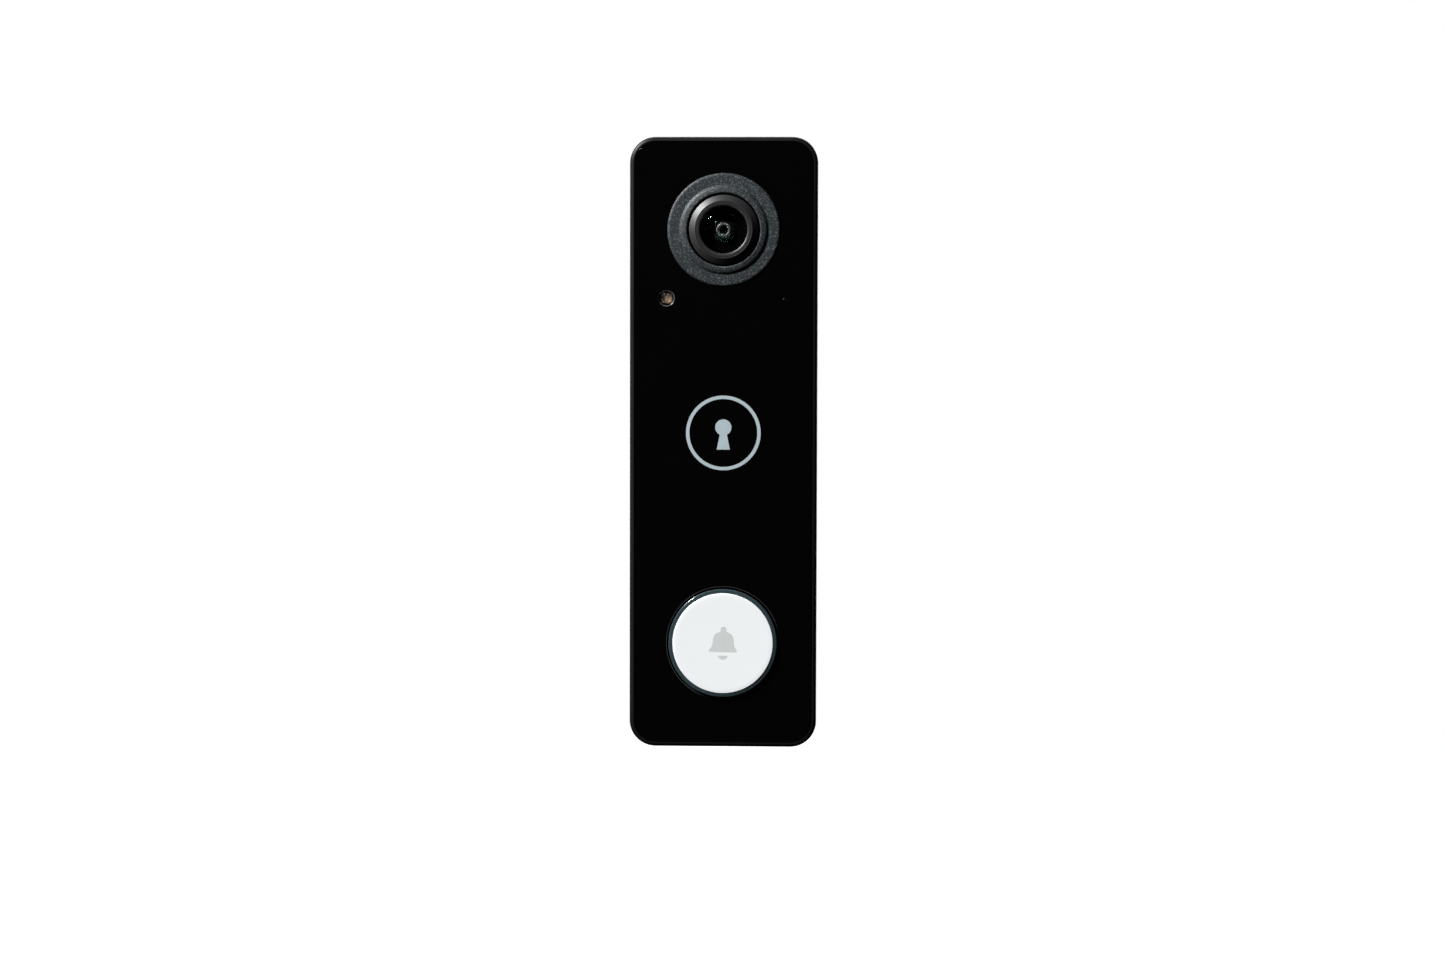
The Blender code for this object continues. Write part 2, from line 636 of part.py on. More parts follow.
def make_camera(materials, unit):
    centre = (0.0, 0.0, CAMERA_Z)

    def part(name, mesh, material):
        return add(name, mesh, materials[material], centre, unit)

    # Textured ring round the lens: outer flange, raised inner land and a tube through the bulkhead.
    flange, land = PANEL_FRONT - 0.35, PANEL_FRONT - 1.0
    bezel = [
        (BEZEL_BORE, land + 0.3),
        (BEZEL_BORE + 0.3, land),
        (9.6, land),
        (10.55, flange),
        (BEZEL_RADIUS - 0.35, flange),
        (BEZEL_RADIUS - 0.1, flange + 0.1),
        (BEZEL_RADIUS, flange + 0.35),
        (BEZEL_RADIUS, PANEL_BACK),
        (10.0, PANEL_BACK),
        (10.0, -17.6),
        (9.1, -17.6),
        (9.1, -20.4),
        (BEZEL_BORE, -20.4),
    ]
    part("camera_bezel", turned(bezel, LARGE_ROUND), "textured_grey")

    seal = ring_profile(BARREL_RADIUS + 0.1, 9.0, -20.2, -19.2)
    part("lens_seal", turned(seal, MEDIUM_ROUND), "rubber_black")

    cone_base, cone_top = -24.5, -25.4
    seat_floor = -22.6
    bore = 4.2
    barrel_end = -13.6
    barrel = [
        (6.65, cone_top),
        (BARREL_RADIUS, cone_base),
        (BARREL_RADIUS, -18.6),
        (6.0, -18.6),
        (6.0, barrel_end),
        (bore, barrel_end),
        (bore, seat_floor),
        (LENS_RADIUS + 0.15, seat_floor),
        (LENS_RADIUS + 0.15, -24.8),
        (6.55, -24.8),
        (6.55, cone_top),
    ]
    part("lens_barrel", turned(barrel, LARGE_ROUND), "lens_black")

    ring = [(5.5, -25.05), (5.9, cone_top), (6.4, cone_top), (6.4, -24.95), (5.5, -24.95)]
    part("lens_retaining_ring", turned(ring, LARGE_ROUND), "lens_black")

    hollow_radius, hollow_curve = 4.0, 4.6
    lens_back = -22.8
    hollow_apex = lens_back - (hollow_curve - math.sqrt(hollow_curve**2 - hollow_radius**2))
    outside = dome(LENS_RADIUS, DOME_APEX, DOME_RADIUS, 6)
    inside = dome(hollow_radius, hollow_apex, hollow_curve, 4)
    front_lens = [*outside, (LENS_RADIUS, lens_back), *reversed(inside)]
    part("front_lens", turned(front_lens, 32), "clear")

    # The stop has a crowned nose that stands in the front lens's hollow, round a small lens.
    stop = [
        (0.8, -23.7),
        (1.05, -23.95),
        (1.4, -24.05),
        (1.75, -23.95),
        (2.0, -23.6),
        (2.3, -22.5),
        (bore - 0.15, -22.4),
        (bore - 0.15, -21.9),
        (1.5, -21.9),
        (1.5, -22.9),
    ]
    part("aperture_stop", turned(stop, MEDIUM_ROUND), "stop_grey")

    middle = [
        *dome(1.1, -23.4, 1.3, 4),
        (1.1, -21.7),
        (bore - 0.2, -21.6),
        (bore - 0.2, -19.4),
        (0.0, -19.4),
    ]
    part("middle_lens", turned(middle, MEDIUM_ROUND), "clear")
    rear = [*dome(3.2, -18.6, 9.0, 3), (bore - 0.2, -17.6), (bore - 0.2, -16.2), (0.0, -16.2)]
    part("rear_lens", turned(rear, MEDIUM_ROUND), "clear")

    holder_front, base_front, holder_back = -17.4, -13.8, CAMERA_BOARD_FRONT - FIT
    base = rounded_rectangle(17.0, 17.0, 1.0, centre=(0.0, CAMERA_Z), steps=1)
    holder = add("lens_holder", prism(base, base_front, holder_back), materials["chip"], parent=unit)
    neck = turned(disc_profile(7.6, holder_front, base_front + 0.5), MEDIUM_ROUND)
    fuse(holder, here(neck, z=CAMERA_Z))
    filter_seat = block((-5.2, 5.2), (-13.5, holder_back + 1.0), (CAMERA_Z - 5.2, CAMERA_Z + 5.2))
    bore_hole = turned(disc_profile(6.2, holder_front - 1.0, -13.4), MEDIUM_ROUND)
    cut(holder, here(filter_seat), here(bore_hole, z=CAMERA_Z))

    ir_filter = block((-4.5, 4.5), (-13.2, -12.7), (CAMERA_Z - 4.5, CAMERA_Z + 4.5))
    add("ir_cut_filter", ir_filter, materials["clear"], parent=unit)
    sensor = block((-4.0, 4.0), (-12.4, CAMERA_BOARD_FRONT - FIT), (CAMERA_Z - 3.4, CAMERA_Z + 3.4))
    add("image_sensor", sensor, materials["chip"], parent=unit)
    board = rounded_rectangle(27.6, 26.0, 1.5, centre=(0.0, CAMERA_Z), steps=2)
    add("camera_board", prism(board, CAMERA_BOARD_FRONT, CAMERA_BOARD_BACK), materials["board"], parent=unit)

    # Flat cable from the camera board's back to the main board's front, in one S-bend.
    start, end, thick = CAMERA_BOARD_BACK + 0.15, MAIN_BOARD_FRONT - 0.15, 0.2
    middle_y = (start + end) / 2
    line = [(start, 43.0), (start, 38.0), (middle_y, 35.5), (end - thick, 33.0), (end - thick, 27.0)]
    cable = [*line, *[(y + thick, z) for y, z in reversed(line)]]
    add("camera_flex_cable", side_prism(cable, -4.0, 4.0), materials["flex"], parent=unit)


# ---------------------------------------------------------------- small board under the camera


def make_front_board(materials, unit):
    """The strip of board with the infrared lamps, the light sensor and the microphone."""
    strip = rounded_rectangle(34.0, 9.6, 1.0, centre=(0.0, 32.2), steps=2)
    add("front_board", prism(strip, FRONT_BOARD_FRONT, FRONT_BOARD_BACK), materials["board"], parent=unit)

    on_board = FRONT_BOARD_FRONT - 0.1

    def chip(name, x, z, size, material):
        width, depth, height = size
        mesh = block(
            (x - width / 2, x + width / 2), (on_board - depth, on_board), (z - height / 2, z + height / 2)
        )
        add(name, mesh, materials[material], parent=unit)

    chip("ir_led_left", -IR_LED_X, IR_LED_Z, (3.2, 1.5, 2.8), "white_part")
    chip("ir_led_right", IR_LED_X, IR_LED_Z, (3.2, 1.5, 2.8), "white_part")
    # The light sensor stands on a riser, right behind its window in the panel's hole.
    sensor_back, riser_half = PANEL_BACK + 0.1, 1.3
    column = block(
        (SENSOR_X - riser_half, SENSOR_X + riser_half),
        (sensor_back + 0.1, on_board),
        (SMALL_HOLE_Z - riser_half, SMALL_HOLE_Z + riser_half),
    )
    add("sensor_riser", column, materials["chip"], parent=unit)
    sensor = block(
        (SENSOR_X - 1.25, SENSOR_X + 1.25),
        (PANEL_FRONT + 0.7, sensor_back),
        (SMALL_HOLE_Z - 1.15, SMALL_HOLE_Z + 1.15),
    )
    add("light_sensor", sensor, materials["gold_chip"], parent=unit)
    chip("microphone", MICROPHONE_X, SMALL_HOLE_Z, (3.6, 1.0, 2.6), "steel")

    window = [*dome(1.8, PANEL_FRONT + 0.02, 7.0, 2), (1.8, PANEL_FRONT + 0.6), (0.0, PANEL_FRONT + 0.6)]
    add("sensor_window", turned(window, 20), materials["clear"], (SENSOR_X, 0.0, SMALL_HOLE_Z), unit)
    tube = ring_profile(0.4, 1.3, PANEL_BACK + 0.1, -20.1)
    place = (MICROPHONE_X, 0.0, SMALL_HOLE_Z)
    add("microphone_gasket", turned(tube, SMALL_ROUND), materials["rubber_black"], place, unit)
    header = block((7.5, 13.5), (FRONT_BOARD_BACK + FIT, MAIN_BOARD_FRONT - FIT), (28.2, 30.8))
    add("board_header", header, materials["chip"], parent=unit)


# ---------------------------------------------------------------- push button


def make_button(materials, unit):
    slide = add_empty("button_slide", (0.0, 0.0, BUTTON_Z), unit)
    centre = (0.0, 0.0, BUTTON_Z)

    # What moves: the dished face, the clear ring round it, the carrier behind, and the plunger.
    face_front, face_back = PANEL_FRONT - 0.9, PANEL_FRONT + 0.1
    dish_depth, dish_radius = 0.1, FACE_RADIUS - 0.35
    dish_curve = (dish_radius**2 + dish_depth**2) / (2 * dish_depth)
    dish = [(r, 2 * (face_front + dish_depth) - y) for r, y in
            dome(dish_radius, face_front + dish_depth, dish_curve, 3)]
    face = [*dish, (FACE_RADIUS, face_front + 0.15), (FACE_RADIUS, face_back), (0.0, face_back)]
    add("button_face", turned(face, LARGE_ROUND), materials["white_face"], centre, slide)

    ring_in, ring_top = FACE_RADIUS + 0.1, PANEL_FRONT - 0.8
    ring = [
        (ring_in, ring_top + 0.1),
        (ring_in + 0.15, ring_top),
        (BUTTON_RADIUS - 0.5, ring_top + 0.1),
        (BUTTON_RADIUS - 0.12, ring_top + 0.35),
        (BUTTON_RADIUS, ring_top + 0.8),
        (BUTTON_RADIUS, PANEL_FRONT + 0.9),
        (ring_in, PANEL_FRONT + 0.9),
    ]
    add("button_light_ring", turned(ring, LARGE_ROUND), materials["smoke_clear"], centre, slide)

    carrier_front, carrier_web = face_back + 0.1, -21.6
    flange_front, flange_back, post_end = -20.5, -19.6, -16.3
    carrier = [
        (0.0, carrier_front),
        (ring_in - 0.1, carrier_front),
        (ring_in - 0.1, -22.6),
        (12.7, -22.6),
        (12.7, flange_front),
        (14.1, flange_front),
        (14.1, flange_back),
        (11.2, flange_back),
        (11.2, carrier_web),
        (3.2, carrier_web),
        (3.2, post_end),
        (0.0, post_end),
    ]
    add("button_carrier", turned(carrier, LARGE_ROUND), materials["case_black"], centre, slide)

    plunger = disc_profile(1.6, -16.1, -14.7)
    add("switch_plunger", turned(plunger, SMALL_ROUND), materials["white_part"], centre, slide)

    # What stays: the seal with its bead round the post, the switch and the board under it.
    seal = [
        (3.4, -19.0),
        (4.4, -19.0),
        (5.0, -18.5),
        (14.6, -18.5),
        (14.6, -20.6),
        (16.0, -20.6),
        (16.0, -17.5),
        (14.0, -17.5),
        (14.0, -18.0),
        (4.4, -18.0),
        (4.4, -17.0),
        (3.4, -17.0),
    ]
    add("button_seal", turned(seal, MEDIUM_ROUND), materials["silicone"], centre, unit)

    switch_back = BUTTON_BOARD_FRONT - FIT
    body = block((-3.0, 3.0), (-15.0, switch_back), (BUTTON_Z - 3.0, BUTTON_Z + 3.0))
    switch = add("tact_switch", body, materials["chip"], parent=unit)
    well = turned(disc_profile(1.8, -16.0, -15.0 + 0.5 + BUTTON_TRAVEL), SMALL_ROUND)
    cut(switch, here(well, z=BUTTON_Z))

    outline = rounded_rectangle(28.0, 27.0, 2.0, centre=(0.0, BUTTON_Z + 0.4), steps=2)
    add(
        "button_board", prism(outline, BUTTON_BOARD_FRONT, BUTTON_BOARD_BACK), materials["board"], parent=unit
    )
    header = block((-5.0, 5.0), (BUTTON_BOARD_BACK + FIT, MAIN_BOARD_FRONT - FIT), (-41.3, -38.7))
    add("button_header", header, materials["chip"], parent=unit)

    reach = 8.5
    for name, side in (("left", -1), ("right", 1)):
        x = side * reach
        led = block(
            (x - 0.8, x + 0.8),
            (BUTTON_BOARD_FRONT - 1.0, BUTTON_BOARD_FRONT - 0.1),
            (BUTTON_Z - 1.5, BUTTON_Z + 1.5),
        )
        add(f"ring_led_{name}", led, materials["white_part"], parent=unit)


# ---------------------------------------------------------------- speaker


def make_speaker(materials, unit):
    """A small rectangular speaker that faces the slots in the bottom."""
    low, high = -68.0, -64.0
    front, back = -19.6, -9.2
    half = 13.8
    frame = add("speaker_frame", block((-half, half), (front, back), (low, high)), materials["chip"], parent=unit)
    lip = 1.0
    mouth = block((-half + lip, half - lip), (front + lip, back - lip), (low - 1.0, low + 1.2))
    motor = block((-half + 3.0, half - 3.0), (front + 2.4, back - 2.4), (low + 0.5, high + 1.0))
    cut(frame, here(mouth), here(motor))

    clear = lip + 0.15
    cone = block((-half + clear, half - clear), (front + clear, back - clear), (low + 0.3, low + 0.7))
    add("speaker_diaphragm", cone, materials["speaker_paper"], parent=unit)
    magnet = block((-half + 3.3, half - 3.3), (front + 2.7, back - 2.7), (low + 1.4, high - 0.2))
    add("speaker_magnet", magnet, materials["steel"], parent=unit)

    gasket = add(
        "speaker_gasket",
        block((-half, half), (front, back), (low - 0.5, low - 0.15)),
        materials["rubber_black"],
        parent=unit,
    )
    opening = block((-half + 1.5, half - 1.5), (front + 1.5, back - 1.5), (low - 2.0, low + 1.0))
    cut(gasket, here(opening))
    mesh = block((-half + 0.3, half - 0.3), (front + 0.3, back - 0.3), (low - 0.85, low - 0.6))
    add("acoustic_mesh", mesh, materials["speaker_paper"], parent=unit)


# ---------------------------------------------------------------- main board


def make_main_board(materials, unit):
    outline = rounded_rectangle(28.8, 108.0, 2.0, centre=(0.0, -1.9), steps=2)
    add("main_board", prism(outline, MAIN_BOARD_FRONT, MAIN_BOARD_BACK), materials["board"], parent=unit)

    on_board = MAIN_BOARD_FRONT - FIT

    def component(name, x_range, height, z_range, material):
        mesh = block(x_range, (on_board - height, on_board), z_range)
        return add(name, mesh, materials[material], parent=unit)

    component("wifi_shield", (-10.0, 5.0), 2.2, (9.0, 25.0), "steel")
    component("processor", (-6.0, 6.0), 1.3, (-13.0, -1.0), "chip")
    component("power_inductor", (4.5, 11.5), 3.8, (-26.5, -19.5), "chip")

    pad_back = on_board - 1.3 - 0.1
    pad = block((-5.5, 5.5), (pad_back - 0.6, pad_back), (-12.5, -1.5))
    add("thermal_pad", pad, materials["silicone"], parent=unit)
    spreader_back = pad_back - 0.6 - 0.1
    spreader = block((-12.5, 12.5), (spreader_back - 0.8, spreader_back), (-16.5, 6.5))
    add("heat_spreader", spreader, materials["aluminium"], parent=unit)

    # The storage capacitor lies across the board on its side.
    can_radius, can_length = 3.6, 13.0
    can = turned(
        [
            (0.0, -can_length / 2),
            (can_radius - 0.4, -can_length / 2),
            (can_radius, -can_length / 2 + 0.5),
            (can_radius, can_length / 2),
            (0.0, can_length / 2),
        ],
        16,
    )
    bmesh.ops.rotate(can, verts=can.verts, cent=(0, 0, 0), matrix=Matrix.Rotation(math.pi / 2, 3, "Z"))
    place = (-4.6, on_board - can_radius - 0.1, -22.6)
    add("storage_capacitor", can, materials["aluminium"], place, unit)

    antenna = block((-19.1, -18.8), (-18.0, -10.5), (-26.0, -4.0))
    add("wifi_antenna", antenna, materials["flex"], parent=unit)


# ---------------------------------------------------------------- assembly


def main():
    for obj in list(bpy.data.objects):
        bpy.data.objects.remove(obj, do_unlink=True)
    materials = make_materials()
    hinge_y, hinge_z = HOOK_AXIS
    unit = add_empty("unit_hinge", (0.0, hinge_y, hinge_z))
    make_wall_plate(materials)
    make_front_housing(materials, unit)
    make_front_panel(materials, unit)
    make_housing_gasket(materials, unit)
    make_rear_cover(materials, unit)
    make_case_screws(materials, unit)
    make_security_screw(materials, unit)
    make_terminals(materials, unit)
    make_camera(materials, unit)
    make_front_board(materials, unit)
    make_button(materials, unit)
    make_speaker(materials, unit)
    make_main_board(materials, unit)


main()
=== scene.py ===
import math

import bpy
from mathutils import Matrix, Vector


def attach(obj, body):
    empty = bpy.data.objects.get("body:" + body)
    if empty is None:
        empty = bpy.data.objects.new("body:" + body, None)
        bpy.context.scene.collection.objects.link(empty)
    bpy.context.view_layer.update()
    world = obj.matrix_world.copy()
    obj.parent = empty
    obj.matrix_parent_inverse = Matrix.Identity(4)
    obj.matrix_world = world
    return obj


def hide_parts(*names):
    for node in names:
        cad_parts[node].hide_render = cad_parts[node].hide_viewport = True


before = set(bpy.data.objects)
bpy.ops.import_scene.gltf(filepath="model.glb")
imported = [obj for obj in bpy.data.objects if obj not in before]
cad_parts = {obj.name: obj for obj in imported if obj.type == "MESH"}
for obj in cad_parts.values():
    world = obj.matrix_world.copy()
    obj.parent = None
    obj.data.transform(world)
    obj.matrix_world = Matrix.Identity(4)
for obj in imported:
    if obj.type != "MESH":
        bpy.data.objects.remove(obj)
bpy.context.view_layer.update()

mm = 0.001

# ---------------------------------------------------------------- wall plate
# The plate is moulded in black ABS with a fine spark-eroded skin, 2.6 mm thick. It is screwed to the
# wall through its two slots. Two hooks near the top and a tab at the foot hold the doorbell on it,
# and the bell wires come through its large window.


def pick(piece):
    """Makes the piece the active one and the only one selected."""
    bpy.ops.object.select_all(action="DESELECT")
    bpy.context.view_layer.objects.active = piece
    piece.select_set(True)


def open_all():
    """Opens the active piece in edit mode with all of it selected."""
    bpy.ops.object.mode_set(mode="EDIT")
    bpy.ops.mesh.select_all(action="SELECT")


def name_new(name):
    """Names the shape just added, and works its size and place into its mesh."""
    piece = bpy.context.object
    piece.name = piece.data.name = name
    bpy.ops.object.transform_apply()
    return piece


def pull(by):
    """Extrudes what is selected by this much along each axis, in metres."""
    bpy.ops.mesh.extrude_region_move(TRANSFORM_OT_translate={"value": by})


def rounded_sheet(name, width, height, corner, y, x=0.0, z=0.0, steps=12):
    """A flat upright sheet with rounded corners, facing the front. Sizes are in millimetres."""
    bpy.ops.object.select_all(action="DESELECT")
    bpy.ops.mesh.primitive_plane_add(
        size=mm, location=(x * mm, y * mm, z * mm), rotation=(math.pi / 2, 0, 0)
    )
    bpy.context.object.scale = (width, height, 1.0)
    piece = name_new(name)
    open_all()
    bpy.ops.mesh.bevel(affect="VERTICES", offset=corner * mm, segments=steps)
    bpy.ops.object.mode_set(mode="OBJECT")
    return piece


def select_faces(piece, wanted):
    """Opens the piece in edit mode with just the faces selected that wanted(middle, normal) picks."""
    pick(piece)
    bpy.ops.object.mode_set(mode="EDIT")
    bpy.ops.mesh.select_mode(type="FACE")
    bpy.ops.mesh.select_all(action="DESELECT")
    bpy.ops.object.mode_set(mode="OBJECT")
    for face in piece.data.polygons:
        face.select = wanted(face.center / mm, face.normal)
    bpy.ops.object.mode_set(mode="EDIT")


def thicken(depth, narrower=0.0, wide=1.0, high=1.0, z=0.0):
    """Extrudes the selected faces along Y. The new ones are narrower on each side, about the middle at z."""
    pull((0.0, depth * mm, 0.0))
    if narrower:
        scale = ((wide - 2 * narrower) / wide, 1.0, (high - 2 * narrower) / high)
        bpy.ops.transform.resize(value=scale, center_override=(0.0, 0.0, z * mm))


def close_up():
    """Turns every face outwards and leaves edit mode."""
    bpy.ops.mesh.select_all(action="SELECT")
    bpy.ops.mesh.normals_make_consistent(inside=False)
    bpy.ops.object.mode_set(mode="OBJECT")


def slab(name, width, height, corner, front, back, x=0.0, z=0.0, steps=12):
    """A rounded sheet made thick, from front to back."""
    piece = rounded_sheet(name, width, height, corner, front, x, z, steps)
    open_all()
    thicken(back - front)
    close_up()
    return piece


def rod(name, radius, front, back, x, z, sides=64):
    """A round rod along Y, from front to back."""
    bpy.ops.object.select_all(action="DESELECT")
    bpy.ops.mesh.primitive_cone_add(
        vertices=sides, radius1=radius * mm, radius2=radius * mm, depth=(back - front) * mm,
        location=(x * mm, (front + back) / 2 * mm, z * mm), rotation=(-math.pi / 2, 0, 0),
    )
    return name_new(name)


def draw_line(name, points):
    """A new piece, left open in edit mode with all of it selected: one line through the points."""
    bpy.ops.object.select_all(action="DESELECT")
    bpy.ops.mesh.primitive_plane_add(size=mm, location=Vector(points[0]) * mm)
    piece = name_new(name)
    bpy.ops.object.mode_set(mode="EDIT")
    bpy.ops.mesh.select_mode(type="VERT")
    bpy.ops.mesh.select_all(action="SELECT")
    bpy.ops.mesh.merge(type="CENTER")
    for before, after in zip(points, points[1:]):
        pull((Vector(after) - Vector(before)) * mm)
    bpy.ops.mesh.select_all(action="SELECT")
    return piece


def traced_bar(name, points, by):
    """A bar made by drawing round an outline of (x, y, z) points and extruding its face by a vector."""
    piece = draw_line(name, points)
    bpy.ops.mesh.edge_face_add()
    pull(Vector(by) * mm)
    close_up()
    return piece


def fit_together(piece, others, how):
    """Joins the other shapes to the piece, or cuts them out of it, one by one."""
    for other in others:
        pick(piece)
        modifier = piece.modifiers.new(how.lower(), "BOOLEAN")
        modifier.operation = how
        modifier.solver = "EXACT"
        modifier.object = other
        bpy.ops.object.modifier_apply(modifier=modifier.name)
        bpy.data.objects.remove(other)


def soften(piece, radius, segments=2, angle=40):
    """Rounds every sharp edge by the radius in millimetres, and shades the piece smooth between edges."""
    pick(piece)
    if radius:
        rounding = piece.modifiers.new("rounding", "BEVEL")
        rounding.width = radius * mm
        rounding.segments = segments
        rounding.limit_method = "ANGLE"
        rounding.angle_limit = math.radians(angle)
        bpy.ops.object.modifier_apply(modifier=rounding.name)
    bpy.ops.object.shade_smooth_by_angle(angle=math.radians(angle))
    flats = piece.modifiers.new("flats", "WEIGHTED_NORMAL")
    flats.keep_sharp = True
    bpy.ops.object.modifier_apply(modifier=flats.name)


wall_plate = slab("wall_plate_shaped", 37.2, 132.2, 4.0, -2.6, 0.0, z=-0.1)
hook_side = [
    (-1.8, 57.6), (-7.0, 57.6), (-7.4, 58.0), (-7.4, 64.2), (-6.3, 64.2), (-5.8, 63.6),
    (-5.8, 60.7), (-1.8, 60.7),
]
hooks = [
    traced_bar(f"hook_{x}", [(x, y, z) for y, z in hook_side], (5.0, 0.0, 0.0)) for x in (-8.5, 3.5)
]
tab_side = [(-1.8, -65.0), (-6.2, -65.0), (-6.2, -63.3), (-5.9, -63.0), (-1.8, -63.0)]
tab = traced_bar("tab", [(-4.0, y, z) for y, z in tab_side], (8.0, 0.0, 0.0))
gusset_side = [(-2.0, -60.4), (-2.6, -60.4), (-5.2, -63.3), (-2.0, -63.3)]
gusset = traced_bar("gusset", [(-0.6, y, z) for y, z in gusset_side], (1.2, 0.0, 0.0))
fit_together(wall_plate, [*hooks, tab, gusset], "UNION")
plate_openings = [slab("wire_window", 26.0, 29.0, 3.0, -4.0, 1.0, z=21.5)]
sink_slope = 1.8
for slot_z, slot_wide, slot_high in ((46.0, 4.0, 9.0), (-46.0, 9.0, 4.0)):
    plate_openings.append(slab("screw_slot", slot_wide, slot_high, 1.99, -4.0, 1.0, z=slot_z))
    sink_wide, sink_high = slot_wide + 2 * sink_slope, slot_high + 2 * sink_slope
    sink = rounded_sheet("screw_sink", sink_wide, sink_high, 3.79, -2.7, z=slot_z)
    open_all()
    thicken(1.7, sink_slope, sink_wide, sink_high, slot_z)
    close_up()
    plate_openings.append(sink)
for hole_x in (-12.0, 12.0):
    plate_openings.append(rod("spare_hole", 2.0, -4.0, 1.0, hole_x, -14.0, 40))
for pocket_x in (-8.0, 8.0):
    plate_openings.append(slab("pocket", 12.0, 16.0, 0.8, -4.0, -1.6, pocket_x, -28.0, 4))
fit_together(wall_plate, plate_openings, "DIFFERENCE")
soften(wall_plate, 0.15)


def feed(tree, made, inputs):
    """Fills a node's inputs, each with a plain value or with a socket that is linked to it."""
    for socket, value in inputs.items():
        if isinstance(value, bpy.types.NodeSocket):
            tree.links.new(value, made.inputs[socket])
        else:
            made.inputs[socket].default_value = value
    return made


def node(tree, kind, inputs, **settings):
    """Adds a shader node with its settings and inputs."""
    made = tree.nodes.new("ShaderNode" + kind)
    for setting, value in settings.items():
        setattr(made, setting, value)
    return feed(tree, made, inputs)


def maths(tree, operation, first, second=0.0, third=0.0):
    """One sum of a Math node, and the socket that holds its result."""
    return node(tree, "Math", {0: first, 1: second, 2: third}, operation=operation).outputs[0]


def ramp(tree, value, low, high, start=0.0, end=1.0, shape="LINEAR"):
    """Runs from start to end while the value goes from low to high."""
    values = {"Value": value, 1: low, 2: high, 3: start, 4: end}
    return node(tree, "MapRange", values, interpolation_type=shape).outputs[0]


def between(tree, amount, low, high):
    """The colour between low and high at this amount."""
    values = {"Factor": amount, 6: low, 7: high}
    return node(tree, "Mix", values, data_type="RGBA").outputs[2]


def shades(colour, *steps):
    """The colour made darker or lighter by each step."""
    return [(*(part * step for part in colour), 1.0) for step in steps]


def new_effect(name, inputs, outputs):
    """An empty node group with named sockets, and its input and output nodes."""
    group = bpy.data.node_groups.new(name, "ShaderNodeTree")
    for socket, kind, value in inputs:
        made = group.interface.new_socket(socket, in_out="INPUT", socket_type="NodeSocket" + kind)
        made.default_value = value
    for socket, kind in outputs:
        group.interface.new_socket(socket, in_out="OUTPUT", socket_type="NodeSocket" + kind)
    return group, group.nodes.new("NodeGroupInput"), group.nodes.new("NodeGroupOutput")


def use_effect(tree, effect, **values):
    """Places an effect in a material on Object coordinates, with its own values."""
    placed = tree.nodes.new("ShaderNodeGroup")
    placed.node_tree = effect
    return feed(tree, placed, values).outputs


def new_finish(name, roughness=0.5, metallic=0.0, **plain):
    """A material with its shader's plain values set, and its tree, shader and Object coordinates."""
    material = bpy.data.materials.new(name)
    material.use_nodes = True
    tree = material.node_tree
    shader = tree.nodes["Principled BSDF"]
    feed(tree, shader, {"Roughness": roughness, "Metallic": metallic})
    feed(tree, shader, {socket.replace("_", " "): value for socket, value in plain.items()})
    place = tree.nodes.new("ShaderNodeTexCoord").outputs["Object"]
    return material, tree, shader, place


def link_finish(tree, shader, colour, roughness=None, height=None, depth=0.01):
    """Feeds the shader's colour and roughness, and a bump that is depth millimetres deep."""
    feed(tree, shader, {"Base Color": colour})
    if roughness is not None:
        feed(tree, shader, {"Roughness": roughness})
    if height is not None:
        bump = node(tree, "Bump", {"Height": height, "Strength": 1.0, "Distance": depth * mm})
        feed(tree, shader, {"Normal": bump.outputs["Normal"]})


# Spark-eroded skin of a mould: rounded grains of one size with a softer wave under them.
moulded_skin, skin_in, skin_out = new_effect(
    "moulded_skin",
    [("Vector", "Vector", (0, 0, 0)), ("Grain", "Float", 0.2), ("Patch", "Float", 12.0)],
    [("Height", "Float"), ("Tone", "Float")],
)
grain_scale = maths(moulded_skin, "DIVIDE", 1000.0, skin_in.outputs["Grain"])
patch_scale = maths(moulded_skin, "DIVIDE", 1000.0, skin_in.outputs["Patch"])
pits = node(
    moulded_skin, "TexVoronoi", {"Vector": skin_in.outputs["Vector"], "Scale": grain_scale},
    feature="SMOOTH_F1",
).outputs["Distance"]
wave = node(
    moulded_skin, "TexNoise",
    {"Vector": skin_in.outputs["Vector"], "Scale": grain_scale, "Detail": 3.0, "Roughness": 0.6},
).outputs["Fac"]
patches = node(
    moulded_skin, "TexNoise",
    {"Vector": skin_in.outputs["Vector"], "Scale": patch_scale, "Detail": 2.0},
).outputs["Fac"]
skin_height = maths(moulded_skin, "MULTIPLY_ADD", wave, 0.7, maths(moulded_skin, "MULTIPLY", pits, 0.5))
skin_tone = maths(moulded_skin, "MULTIPLY_ADD", wave, 0.4, maths(moulded_skin, "MULTIPLY", patches, 0.6))
feed(moulded_skin, skin_out, {"Height": skin_height, "Tone": skin_tone})


def moulded_black(name, grain, shine, colour=(0.0055, 0.0055, 0.0058)):
    """Black moulded plastic: grain in millimetres, shine its roughness."""
    material, tree, shader, place = new_finish(name, roughness=shine, Specular_IOR_Level=0.22)
    skin = use_effect(tree, moulded_skin, Vector=place, Grain=grain)
    tint = between(tree, skin["Tone"], *shades(colour, 0.75, 1.3))
    gloss = ramp(tree, skin["Tone"], 0.0, 1.0, shine - 0.06, shine + 0.08)
    link_finish(tree, shader, tint, gloss, skin["Height"], 0.006)
    return material


def mottled(name, grain, low, high, shine, depth, patch=12.0, **plain):
    """A moulded skin that wanders between two colours. Grain, depth and patch are in millimetres."""
    material, tree, shader, place = new_finish(name, roughness=shine, **plain)
    skin = use_effect(tree, moulded_skin, Vector=place, Grain=grain, Patch=patch)
    link_finish(tree, shader, between(tree, skin["Tone"], low, high), None, skin["Height"], depth)
    return material


